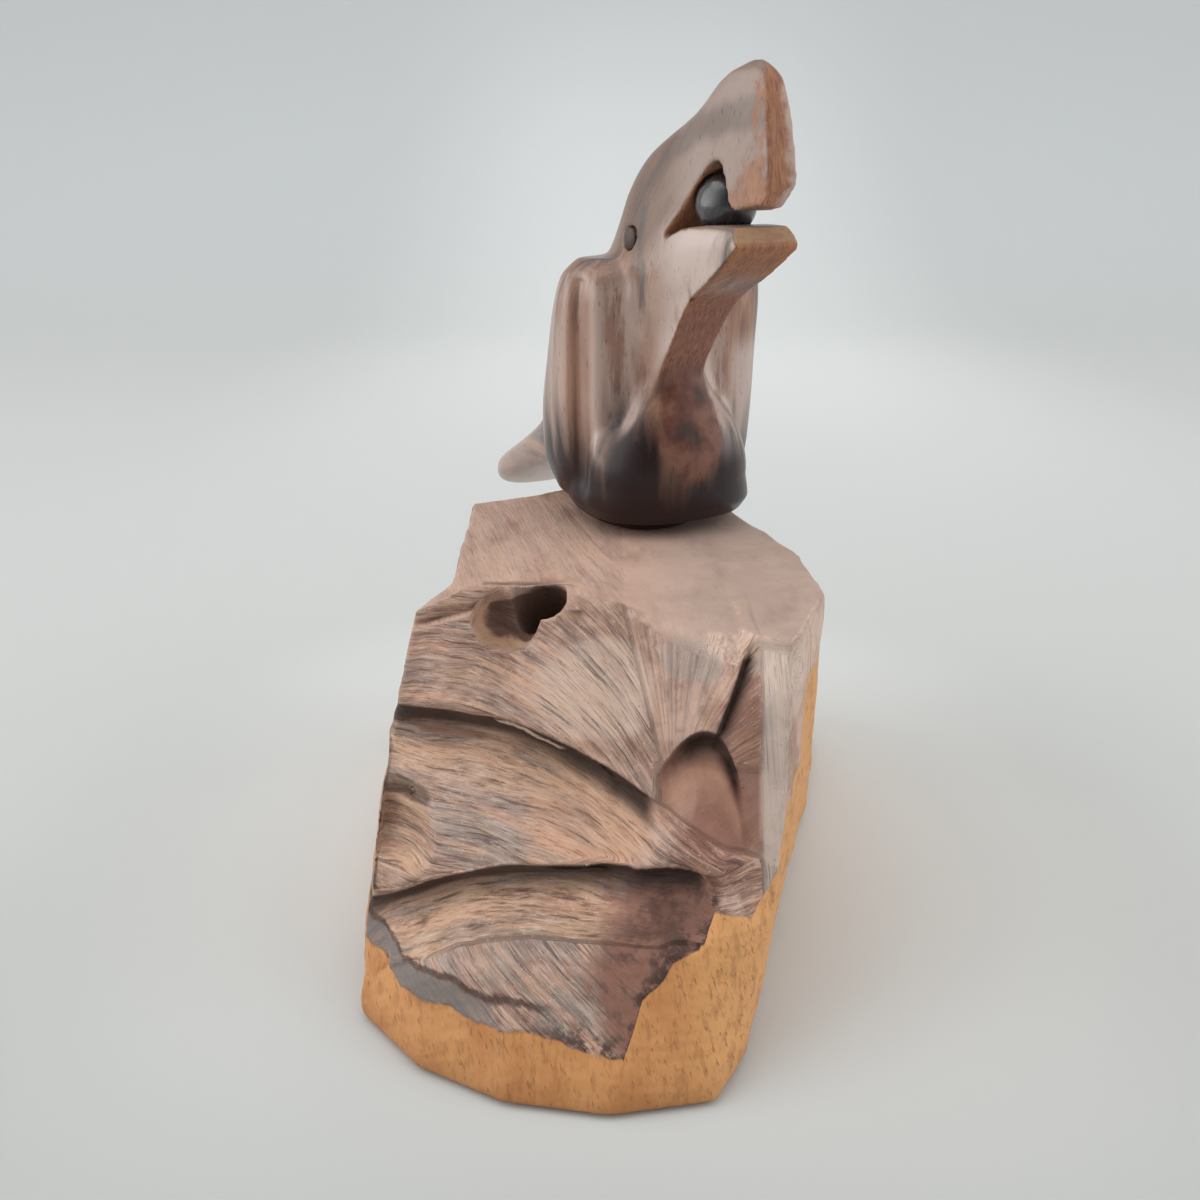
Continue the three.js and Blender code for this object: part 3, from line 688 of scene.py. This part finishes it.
def upper_lip(x):
    """Height of the upper chisel cut's lip above x, for numbers and sockets alike."""
    high, slope, bend, soft = UPPER_LIP
    away = x + bend
    return high - slope * (away + (away * away + soft) ** 0.5)


def lower_lip(droop):
    """Height of the lower chisel cut's lip, from how far x lies left of its bend."""
    high, fall, _ = LOWER_LIP
    return high - fall * (droop * droop)


def splinter(x, upper):
    """How far off a torn strand under the upper lip a point lies, for numbers and sockets alike."""
    return upper + STRAND_DROP + STRAND_SLOPE * (x - STRAND_END)


def fan_edge(z):
    """Where the fan-shaped facet on the right begins at a height, for numbers and sockets alike."""
    return FAN_AT[0] - (z - FAN_AT[1]) * FAN_SLOPE


def fill_scoop(piece, sections):
    """Fills a scoop with wedges from section to section, which the even mesh then joins."""
    made = bmesh.new()
    made.from_mesh(piece.data)
    for pair in zip(sections, sections[1:]):
        corners = []
        for x, y, z, root_y, root_z in pair:
            corners += [(x, y, z), (x, root_y, root_z), (x, root_y + 6, z - 1)]
        verts = [made.verts.new(Vector(corner) * MM) for corner in corners]
        bmesh.ops.convex_hull(made, input=verts)
    made.to_mesh(piece.data)
    made.free()


def carve_base(piece, settings):
    """Wears the hewn edges, keeps the chisel cuts crisp and adds tool marks."""
    for ramp in (UPPER_RAMP, LOWER_RAMP, RIGHT_RAMP):
        fill_scoop(piece, ramp)
    remesh(piece, settings.voxel)
    shape = Sculpt(piece, BASE_PLACE)
    shape.relax(np.ones(len(shape.points)), 2)
    _, y, z = shape.points.T
    foot = ease(z, 0.6, 3)
    normals = shape.normals()
    top = ease(normals[:, 2], 0.75, 0.95)
    sides = (1 - ease(normals @ np.array(FACE_OUT), 0.3, 0.6)) * (1 - top) * foot
    seat = top * ease(y, 3, 9)
    shape.push(0.3 * shape.rough(12) * foot * (1 - seat))
    shape.push(0.9 * (shape.scallops(9, (1, 1.3, 1)) - 0.5) * top * ease(y, 4, -4))
    shape.push(1.1 * (shape.scallops(9, (1, 1, 2.6)) - 0.5) * sides)
    front = chisel_front(shape, foot)
    shape.push(0.1 * shape.rough(2.2) * foot * (1 - seat))
    shape.store()
    thin_out(piece, settings.triangles, 0.2 + 0.8 * np.maximum(front, 0.4 * top))


def chisel_front(shape, foot):
    """Smooths the hewn front, then sharpens its chisel cuts and adds scoops, a crack and rasp marks."""
    x, y, z = shape.points.T
    ahead = ease(y, -20, -24)
    shape.relax(ease(z, 19, 16) * ease(z, 1.5, 4) * ease(x, -36, -33) * ahead, 60)
    ramps = ease(z - upper_lip(x), -4.5, -6.5) * ease(x, -31, -28) * ease(x, 20, 18) * ease(z, 10, 14)
    shape.relax(ramps * ease(np.abs(z - lower_lip(np.minimum(x + LOWER_LIP[2], 0)) + 1), 1.5, 3) * ahead, 30)
    right = ease(x, 5.5, 7) * ease(x, 19, 17.5) * ease(z, 27, 29) * ease(z, 42, 41)
    shape.relax(right * ahead, 900)
    shape.relax(ease(z, 48, 51) * ease(y, -5, -12), 8)
    x, y, z = shape.points.T
    front = ease(shape.normals() @ np.array(FACE_OUT), 0.3, 0.6) * foot * ease(y, -8, -14)
    upper = z - upper_lip(x)
    lower = z - lower_lip(np.minimum(x + LOWER_LIP[2], 0))
    step = ease(upper, 0.15, -0.35) * np.clip(1 + upper / 4.5, 0, 1) * ease(x, 6.5, 4.5)
    cuts = (0.5 + 1.2 * ease(x, -12, -4)) * step
    step = ease(lower, 0.15, -0.35) * np.clip(1 + lower / 4.5, 0, 1) * ease(x, 12.5, 11)
    cuts += (0.5 + 1.3 * ease(x, -14, -6)) * step
    moon = MOON_TOP[1] - MOON_DROP * ((x - MOON_TOP[0]) / np.where(x < MOON_TOP[0], *MOON_REACH)) ** 2 - z
    cuts += 2.4 * ease(moon, -0.1, 0.5) * np.clip(1 - moon / 8, 0, 1) * ease(x, 5.5, 8) * ease(x, 18, 16.5)
    trough = x - TROUGH_AT[0] - (z - TROUGH_AT[1]) * TROUGH_SLOPE
    cuts += 1.8 * ease(trough, -0.1, 0.4) * np.clip(1 - trough / 5, 0, 1) * ease(z, 38, 42) * ease(z, 53, 50)
    for at, size, depth in SCOOPS:
        away = ((x - at[0]) / size[0]) ** 2 + ((z - at[1]) / size[1]) ** 2
        cuts += depth * np.clip(1 - away, 0, 1)
    cuts += 0.4 * np.clip(z - 50.5 + 0.33 * (x - 7.5), 0, 5) * ease(x, 2, 6) * ease(x, 19, 17)
    cuts += 0.14 * np.clip(x - fan_edge(z), 0, 6) * ease(upper, 0, 2) * ease(x, 16, 12)
    middle = ease(upper, -4, -6) * ease(lower, 0, 1)
    cuts += 0.16 * np.clip(np.abs(x + 12.5 + 0.5 * (z - 28)), 0, 6) * middle * ease(x, 6, 2)
    along = np.clip((x - CRACK[0][0]) / (CRACK[1][0] - CRACK[0][0]), 0, 1)
    crack = z - CRACK[0][1] - along * (CRACK[1][1] - CRACK[0][1])
    cuts += 1.5 * np.exp(-((crack / 0.6) ** 2)) * ease(x, -29, -27) * ease(x, -15.5, -18) * ease(y, -12, -15)
    shape.sink(cuts * front, FACE_OUT)
    shape.push(0.6 * (shape.scallops(11, (1.6, 1, 0.8)) - 0.45) * front * ease(np.abs(upper + 1), 1, 3))
    rows = np.where(upper > 0, z + 0.02 * (x + 25) ** 2, np.where(lower > 0, upper, lower))
    grooves = np.array([noise.noise((a * 0.12, b * 1.5, 0.0)) for a, b in zip(x.tolist(), rows.tolist())])
    shape.push(0.1 * grooves * front)
    strand = np.exp(-((splinter(x, upper) / 0.4) ** 2)) * ease(x, -17, -16) * ease(x, -6.5, -8)
    shape.push(0.4 * strand * ahead)
    return front


def rasped_heartwood(settings):
    """Rasped end grain: heartwood with tool marks inside a rim of golden sapwood, with painted shade under
    the chisel lips and in the hollows and painted sheen on the right edge.
    """
    wood = Shader(bpy.data.materials.new("rasped_heartwood"))
    place = wood.placed()
    x, y, z = wood.parts(place)
    front = wood.facing(FACE_OUT).rise(0.25, 0.5) * y.rise(-12, -17)
    front = front * (x + z.rise(16, 8) * 3).rise(-36, -34.6)
    patches = wood.noise(place, 0.11, 4, 0.6)
    wander = wood.noise(wood.vector(x, y * 0.3, z), 0.22, 4, 0.62) - 0.5

    def spot(at, size):
        across = (x - at[0]) / size[0]
        up = (z - at[1]) / size[1]
        return (across * across + up * up + (patches - 0.5) * 1.4 + wander * 0.5).rise(1.25, 0.6) * front

    def lay_spot(at, size, share, shade):
        wood.lay(spot(at, size) * share, shade)

    def lay_streaks(value, low, high, share, shade):
        wood.lay(value.rise(low, high) * share * even, shade)

    ahead = y.rise(-18, -21)
    across = ((x - LOG_PITH[0]) ** 2 + (z - LOG_PITH[1]) ** 2).root()
    round_log = HEART_RADIUS + z.rise(43.5, 46) * 8 - across
    height = z * 0.83 + y * 0.55
    inside = round_log * (1 - front) + (height - wood.curve(x, SAP_EDGE)) * front + wander * 3

    upper = z - upper_lip(x)
    lower = z - lower_lip((x + LOWER_LIP[2]).least(0))
    ramp_end = z - 17.6 + (x + 9.7).least(0) ** 2 * 0.0186
    above = upper.rise(-0.3, 0.3)
    between = lower.rise(-0.3, 0.3) * (1 - above)
    low = ramp_end.rise(0.2, -0.2)
    ramp = (1 - above - between - low).most(0)
    fan = (x - fan_edge(z)).rise(-0.4, 0.4) * above
    reach = x + 25
    rows = (z + reach * reach * 0.02) * (above - fan) + (z - 33).angle(x - 8) * 14 * fan
    rows = rows + upper * between + lower * ramp + (z + x * 0.75) * low
    skew = above * x.rise(5, 6.5) * z.rise(37, 35)
    rows = rows * (1 - skew) + (z - x * 0.7) * skew
    rows = rows * front + across * (1 - front)
    flat = wood.facing((0, 0, 1)).rise(0.72, 0.88) * z.rise(48, 51)
    edge = x.rise(19.8, 20.4) * front * z.rise(53, 51)
    rows = rows * (1 - edge) + (x + z * 0.08) * edge
    rows = rows * (1 - flat) + (x + y * 0.25) * flat
    shift = wander * 0.25
    bands = wood.noise(wood.vector(x * 0.05, y * 0.03, rows * 0.45 + shift), 1.0, 3, 0.55)
    fibres = wood.noise(wood.vector(x * 0.14, y * 0.1, rows * 2.2 + shift), 1.0, 4, 0.72)
    hair = wood.noise(wood.vector(x * 0.5, y * 0.3, rows * 6), 1.0, 3, 0.6)
    mottle = wood.noise(place, 0.5, 4, 0.65)
    specks = wood.noise(place, 2.8, 2, 0.6)
    trough = x - TROUGH_AT[0] - (z - TROUGH_AT[1]) * TROUGH_SLOPE
    hues = wood.noise(wood.vector(x * 0.08, y * 0.05, rows * 0.8 + shift), 1.0, 2, 0.5)
    even = 1 - flat * 0.6 - fan * 0.45 - skew * 0.4

    blend = (patches + (mottle - 0.5) * 0.5).rise(0.38, 0.62)
    wood.tone = wood.mix(blend, settings.heart, settings.heart_pink)
    wood.lay(x.rise(-10, -22) * above * front * 0.6, settings.heart)
    lay_spot((-3, 43.5), (9, 5.5), 0.85, settings.heart_pink)
    lay_spot((-4, 29), (10, 5), 0.75, settings.heart_orange)
    lay_spot((-30, 26), (5, 6), 0.8, settings.heart_tan)
    ramp_foot = (ramp * x.rise(4, -6)).most(upper.rise(-1, -2.5) * upper.rise(-9, -6) * x.rise(4, 0))
    wood.lay(ramp_foot * front * (0.5 + patches * 0.4), settings.heart_tan)
    wood.lay(spot((-18, 28), (8, 5)) * between * upper.rise(-5, -8) * 0.75, settings.heart_grey)
    lay_spot((10.5, 48), (4.5, 2.6), 0.7, settings.heart_grey)
    wood.lay(low * front * (patches + wander).rise(0.6, 0.42) * 0.7, settings.heart_grey)
    smear = wood.noise(wood.vector(x * 0.14, y * 0.05, 0.0), 1.0, 3, 0.55)
    worn = wood.mix(smear.rise(0.2, 0.52), settings.heart_red, settings.heart_pink)
    worn = wood.mix(x.rise(0, 15) * 0.6, worn, settings.heart_grey)
    wood.lay(flat * 0.8, worn)
    furrow = trough.rise(0.2, 1.2) * x.rise(20.2, 19.4) * front * lower.rise(0, 3)
    wood.lay(furrow * (0.6 + bands * 0.4), settings.heart_red)
    lay_streaks(bands, 0.5, 0.34, 0.5, settings.heart_red)
    lay_streaks(bands, 0.54, 0.66, 0.35, settings.heart_tan)
    lay_streaks(hues, 0.53, 0.64, 0.5, settings.heart_orange)
    lay_streaks(hues, 0.46, 0.36, 0.5, settings.heart_blue)
    lay_spot((-4, 29), (10, 5), 0.4, settings.heart_orange)
    lay_spot((-3, 44), (9, 5.5), 0.42, settings.fibre)
    lay_spot((13, 30), (6, 7), 0.65, settings.heart_red)
    # Painted sheen on the right edge face.
    wood.lay(edge * 0.65, settings.edge)
    lay_streaks(fibres, 0.49, 0.32, 0.75, settings.heart_dark)
    lay_streaks(fibres, 0.53, 0.7, 0.45, settings.fibre)
    lay_streaks(hair, 0.53, 0.7, 0.5, settings.fibre)
    lay_streaks(hair, 0.47, 0.32, 0.45, settings.heart_dark)
    lay_streaks(specks, 0.66, 0.72, 0.7, settings.fibre)
    wood.lay(specks.rise(0.33, 0.27) * 0.5, settings.heart_dark)
    brow = (z - 50.8 + (x - 7.5) * 0.3).rise(-0.6, 0.8) * z.rise(54.5, 53) * x.rise(1, 6) * (1 - flat)
    wood.lay(brow * hair.rise(0.38, 0.56) * 0.6, settings.fibre)

    red = x + 3.6 - abs(z - 13.4) * 0.55 + wander * 8 + (mottle - 0.5) * 7
    red = red.rise(-2.5, 2) * lower.rise(0.3, -0.3) * x.rise(14.5, 12.5) * front
    wood.lay(red * (0.85 + (mottle - 0.5) * 0.8), settings.heart_red)
    wood.lay(red * (mottle + wander * 0.5).rise(0.6, 0.34) * 0.65, settings.heart_dark)
    left, right = MOON_REACH
    moon_side = x.rise(MOON_TOP[0] - 0.01, MOON_TOP[0] + 0.01)
    moon_wide = moon_side * (right - left) + left
    moon = MOON_TOP[1] - ((x - MOON_TOP[0]) / moon_wide) ** 2 * MOON_DROP - z
    in_moon = moon.rise(-0.2, 0.2) * x.rise(17.5, 16.5)
    scooped = in_moon * moon.rise(9, 4) * x.rise(5.5, 7) * ahead
    # Painted shading in the half-moon hollow: reddish near its top, warmer orange lower down where it faces
    # the light.
    bowl = wood.mix(moon.rise(1, 6) * (0.2 + mottle * 0.6), settings.heart_red, settings.heart_orange)
    wood.lay(scooped * 0.8, bowl)
    # Painted shade under both chisel lips, in the top of the half-moon hollow, along the trough and in two
    # scoops.
    frayed = (hair - 0.5) * 1.6 + wander * 0.8
    shade = (upper + frayed * 0.2).rise(0.2, -0.2) * (upper + frayed).rise(-4.6, -2.2) * x.rise(6, 4)
    ledge = (lower + frayed * 0.2).rise(0.2, -0.2) * (lower + frayed).rise(-4.2, -1.8)
    shade = shade.most(ledge * x.rise(12.5, 11))
    shade = shade.most(in_moon * moon.rise(5.5, 2) * (x + z * 0.3).rise(18.5, 22))
    shade = shade.most(trough.rise(-0.2, 0.2) * trough.rise(3, 0.8) * z.rise(37, 41) * z.rise(50.5, 49))
    shade = shade.most(spot((9, 21), (4.2, 3.6)) * (0.1 + mottle * 0.3))
    shade = shade.most(spot((-30, 30.4), (4.5, 1.3)) * 0.75)
    wood.lay(shade * (0.8 + hair * 0.2) * ahead, settings.painted_shade)
    strand = wood.band(splinter(x, upper) + wander * 2.5, 0, 0.55) * x.rise(-17, -16) * x.rise(-6.5, -8)
    wood.lay(strand * hair.rise(0.3, 0.5) * ahead * 0.9, settings.fibre)
    rim = inside.rise(4.5, 0.8) * front
    rim = rim * x.rise(-14, -4) * x.rise(16, 13) * (mottle + hair * 0.3).rise(0.75, 0.55)
    wood.lay(rim * 0.95, settings.heart_dark)
    stain = inside.rise(3.6, 3.0) * x.rise(-14, -20) * front
    wood.lay(stain * (0.55 + mottle * 0.6), settings.heart_slate)
    seam = wood.band(inside + (hair - 0.5) * 0.8, 3.6, 0.7) * x.rise(-6, -12) * front
    wood.lay(seam * (0.45 + mottle * 0.8), settings.heart_dark)

    fleck = wood.noise(wood.vector(x * 2.4 + z * 0.8, y * 0.3, z * 0.9), 1.0, 2, 0.55)
    streaks = wood.noise(wood.vector(x * 1.1, y * 0.1, z * 0.4), 1.0, 3, 0.6)
    sap = wood.mix((patches.rise(0.42, 0.62) * 0.55).most(x.rise(4, 14)), settings.sap, settings.sap_pale)
    sap = wood.mix(streaks.rise(0.5, 0.34) * 0.35, sap, settings.sap_dark)
    sap = wood.mix(fleck.rise(0.57, 0.72) * (0.25 + front * 0.4), sap, settings.sap_dark)
    sap = wood.mix(z.rise(6, 0) * 0.3, sap, settings.sap_dark)
    wood.lay(inside.rise(0.2, -0.2), sap)

    away = [part - at for part, at in zip((x, y, z), KNOT_AT)]
    depth = sum(part * lean for part, lean in zip(away, KNOT_LEAN))
    spread = (sum(part * part for part in away) - depth * depth).root()
    hollow = spread.rise(6, 5.4) * depth.rise(0.5, 2)
    pocket = x.rise(-20.5, -19.5) * x.rise(-3.5, -5) * z.rise(53.2, 52.7)
    pocket = pocket * y.rise(-22.8, -21.6) * y.rise(-8, -10)
    # Painted light and shade in the knot hole: its lit wall is tan and its deeper inside dark.
    wood.lay(pocket * 0.7, settings.heart_tan)
    hollow = hollow.most(pocket * (y + wander * 5 + (x + 13) * 0.25).rise(-21, -19.5))
    wood.lay(hollow * (0.6 + hair * 0.5), settings.heart_dark)
    rasped = inside.rise(-0.2, 0.4)
    relief = (bands * 0.4 + fibres * 0.4 + hair * 0.2) * rasped * (1 - fan * 0.5) + fleck * (1 - rasped) * 0.3
    return wood.surface(
        Base_Color=wood.tone, Roughness=0.62, Normal=wood.bump(relief, 0.0006, 0.9), Specular_IOR_Level=0.35
    )


# Ball, eyes and pegs

BALL_PLACE = Matrix.Translation(BALL_CENTRE) @ BASE_PLACE
BALL_DENTS = 0.06  # how deep the hand-turned ball's unevenness is, in millimetres


def ball_wood(settings):
    """Turned and polished black wood."""
    wood = Shader(bpy.data.materials.new("ball_wood"))
    place = wood.placed(BALL_CENTRE, (0.4, 0.2, 0.0))
    u, v, w = wood.parts(place)
    grain = wood.noise(wood.vector(u, v, w * 0.2), 0.8, 4, 0.6)
    scuffs = wood.noise(place, 2.5, 3, 0.6)
    tone = wood.mix(grain.rise(0.45, 0.7), settings.dark, settings.streak)
    return wood.surface(
        Base_Color=tone,
        Roughness=scuffs * 0.25 + 0.16,
        Normal=wood.bump(scuffs, 0.00006, 0.4),
        Coat_Weight=0.5,
        Coat_Roughness=0.15,
        Specular_IOR_Level=0.7,
    )


def eye_wood(settings):
    """Dark domed plug with faint grain."""
    wood = Shader(bpy.data.materials.new("eye_wood"))
    place = wood.placed()
    grain = wood.noise(place, 1.8, 3, 0.6)
    tone = wood.mix(grain.rise(0.4, 0.7), settings.dark, settings.grain)
    return wood.surface(Base_Color=tone, Roughness=grain * 0.3 + 0.4, Normal=wood.bump(grain, 0.00005, 0.4))


def peg_wood(settings):
    """Plain dowel with grain along its length."""
    wood = Shader(bpy.data.materials.new("peg_wood"))
    x, y, z = wood.parts(wood.placed())
    grain = wood.noise(wood.vector(x, y, z * 0.08), 1.6, 4, 0.6)
    tone = wood.mix(grain.rise(0.35, 0.7), settings.pale, settings.grain)
    return wood.surface(Base_Color=tone, Roughness=0.7, Normal=wood.bump(grain, 0.0001, 0.5))


def refinish(material, *nodes):
    """Gives a material to CAD nodes that stay."""
    for node in nodes:
        slots = frame["nodes"][node].data.materials
        slots.clear()
        slots.append(material)


# Stage

SWEEP = (2.5, -1.2, 0.7, 0.5, 2.2)  # half width, near and far end, bend's radius and height above it
LAMP_SIZE = 0.8
LAMP_PLACE = (-0.15, 0.05, 0.85)
LAMP_AIM = Vector((0, 0, 0.05))


def only(kind, geometry):
    """The elements of one kind."""
    return [element for element in geometry if isinstance(element, kind)]


def stage_paper(settings):
    """Pale seamless paper with a painted glow round the carving, paler up the back and with painted shade
    towards the front.
    """
    paper = Shader(bpy.data.materials.new("stage_paper"))
    place = paper.placed(scale=(1, 1, 1))
    x, y, z = paper.parts(place)
    tooth = paper.noise(place, 800, 2, 0.5)
    back = (y + z).rise(0.4, 1.2)
    paper.tone = paper.mix(back, settings.floor, settings.wall)
    # Painted glow round the carving and behind it, and painted light beside the block where its shadow would
    # fall.
    beside = (abs(x) - 0.04).most(0) ** 2 + (abs(y) - 0.065).most(0) ** 2
    painted_halo = abs(x - 0.05).rise(0.28, 0.05) * (y + z).rise(0.1, 0.6) * (y + z).rise(1.6, 1.1) * 0.7
    painted_halo = painted_halo.most(beside.root().rise(0.06, 0.0) * y.rise(-0.1, -0.04) * 0.35)
    paper.lay(painted_halo, settings.glow)
    # Painted shade: the sheet darkens towards the front.
    paper.lay(y.rise(0.02, -0.08) * 0.17, (0.0, 0.0, 0.0))
    return paper.surface(Base_Color=paper.tone, Roughness=0.85, Normal=paper.bump(tooth, 0.0001, 0.1))


class TOUCAN_OT_stage(Operator):
    """Makes the camera, the paper sweep and the soft light"""

    bl_idname = "toucan.stage"
    bl_label = "Stage"

    def execute(self, context):
        settings = context.scene.toucan.stage
        scene = context.scene
        scene.view_settings.view_transform = "Standard"
        lens = bpy.data.cameras.new("camera")
        lens.sensor_width = 36
        lens.lens = settings.camera_lens
        lens.clip_start = 0.01
        camera = bpy.data.objects.new("camera", lens)
        camera.location = settings.camera_place
        camera.rotation_euler = (math.pi / 2 - settings.camera_pitch, 0, 0)
        scene.collection.objects.link(camera)
        scene.camera = camera
        self.sweep(settings)
        self.lights(scene, settings)
        return {"FINISHED"}

    def sweep(self, settings):
        made = bmesh.new()
        half, near, far, radius, top = SWEEP
        start = [made.verts.new((-half, near, 0)), made.verts.new((half, near, 0))]
        edge = made.edges.new(start)
        run = bmesh.ops.extrude_edge_only(made, edges=[edge])["geom"]
        verts = only(bmesh.types.BMVert, run)
        bmesh.ops.translate(made, verts=verts, vec=(0, far - near, 0))
        bend = bmesh.ops.spin(
            made,
            geom=only((bmesh.types.BMVert, bmesh.types.BMEdge), run),
            cent=(0, far, radius),
            axis=(1, 0, 0),
            angle=math.pi / 2,
            steps=24,
        )["geom_last"]
        wall = bmesh.ops.extrude_edge_only(made, edges=only(bmesh.types.BMEdge, bend))["geom"]
        bmesh.ops.translate(made, verts=only(bmesh.types.BMVert, wall), vec=(0, 0, top))
        bmesh.ops.recalc_face_normals(made, faces=made.faces)
        paper = add_piece("paper_sweep", made)
        paper.data.shade_smooth()
        paper.data.materials.append(stage_paper(settings))

    def lights(self, scene, settings):
        scene.world = bpy.data.worlds.new("tent")
        tent = Shader(scene.world)
        x, y, z = tent.parts(tent.coordinates("Generated"))
        level = x * x * settings.side_level * (1 - x * 0.12) + (z * z) * z.rise(0.0, 0.3) * settings.top_level
        level = (level + settings.dim_level) * (1 - (y * -1).rise(0.35, 0.95) * 0.45)
        glow = tent.node("ShaderNodeBackground", None, {"Color": (1.0, 1.0, 1.0, 1.0), "Strength": level})
        tent.node("ShaderNodeOutputWorld", None, {"Surface": glow}, output=None)
        lamp = bpy.data.lights.new("top_light", "AREA")
        lamp.shape = "SQUARE"
        lamp.size = LAMP_SIZE
        lamp.energy = settings.key_power
        top = bpy.data.objects.new("top_light", lamp)
        top.location = LAMP_PLACE
        top.rotation_euler = (LAMP_AIM - top.location).to_track_quat("-Z", "Y").to_euler()
        scene.collection.objects.link(top)


class TOUCAN_OT_base(Operator):
    """Makes the rasped block"""

    bl_idname = "toucan.base"
    bl_label = "Block"

    def execute(self, context):
        settings = context.scene.toucan.base
        piece = merged_copy("base", "hewn_block")
        carve_base(piece, settings)
        finished(piece, rasped_heartwood(settings), "carving", "rough_heartwood", "base")
        return {"FINISHED"}


class TOUCAN_OT_bird(Operator):
    """Makes the polished bird"""

    bl_idname = "toucan.bird"
    bl_label = "Bird"

    def execute(self, context):
        settings = context.scene.toucan.bird
        piece = merged_copy("toucan", "carved_bird")
        carve_bird(piece, settings)
        finished(piece, polished_heartwood(settings), "carving", "polished_heartwood", "toucan")
        return {"FINISHED"}


class TOUCAN_OT_ball(Operator):
    """Makes the loose ball in the bill"""

    bl_idname = "toucan.ball"
    bl_label = "Ball"

    def execute(self, context):
        settings = context.scene.toucan.ball
        low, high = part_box("beak_ball")
        radius = (high.x - low.x) / 2 - settings.clearance
        made = bmesh.new()
        bmesh.ops.create_uvsphere(made, u_segments=64, v_segments=40, radius=radius)
        bmesh.ops.translate(made, verts=made.verts, vec=BALL_CENTRE)
        piece = add_piece("dark_ball", made)
        finished(piece, ball_wood(settings), "ball", "ball_wood", "beak_ball")
        shape = Sculpt(piece, BALL_PLACE)
        shape.push(-BALL_DENTS * (1 + shape.rough(3)))
        shape.store()
        return {"FINISHED"}


class TOUCAN_OT_eyes(Operator):
    """Finishes the two domed eyes"""

    bl_idname = "toucan.eyes"
    bl_label = "Eyes"

    def execute(self, context):
        refinish(eye_wood(context.scene.toucan.eye), "eye_left", "eye_right")
        return {"FINISHED"}


class TOUCAN_OT_pegs(Operator):
    """Finishes the two hidden dowels"""

    bl_idname = "toucan.pegs"
    bl_label = "Pegs"

    def execute(self, context):
        refinish(peg_wood(context.scene.toucan.peg), "front_peg", "rear_peg")
        return {"FINISHED"}


class TOUCAN_PT_panel(Panel):
    """Lists the steps that build the carving"""

    bl_idname = "TOUCAN_PT_panel"
    bl_label = "Carved Toucan"
    bl_space_type = "VIEW_3D"
    bl_region_type = "UI"
    bl_category = "Toucan"

    def draw(self, context):
        for step in STEPS:
            self.layout.operator(step.bl_idname)


STEPS = (TOUCAN_OT_stage, TOUCAN_OT_base, TOUCAN_OT_bird, TOUCAN_OT_ball, TOUCAN_OT_eyes, TOUCAN_OT_pegs)
GROUPS = (StageSettings, BirdSettings, BaseSettings, BallSettings, EyeSettings, PegSettings, ToucanSettings)
CLASSES = (*GROUPS, *STEPS, TOUCAN_PT_panel)


def register():
    for kind in CLASSES:
        bpy.utils.register_class(kind)
    bpy.types.Scene.toucan = PointerProperty(type=ToucanSettings)


def unregister():
    del bpy.types.Scene.toucan
    for kind in reversed(CLASSES):
        bpy.utils.unregister_class(kind)


def main():
    register()
    bpy.ops.toucan.stage()
    bpy.ops.toucan.base()
    bpy.ops.toucan.bird()
    bpy.ops.toucan.ball()
    bpy.ops.toucan.eyes()
    bpy.ops.toucan.pegs()


if __name__ == "__main__":
    main()
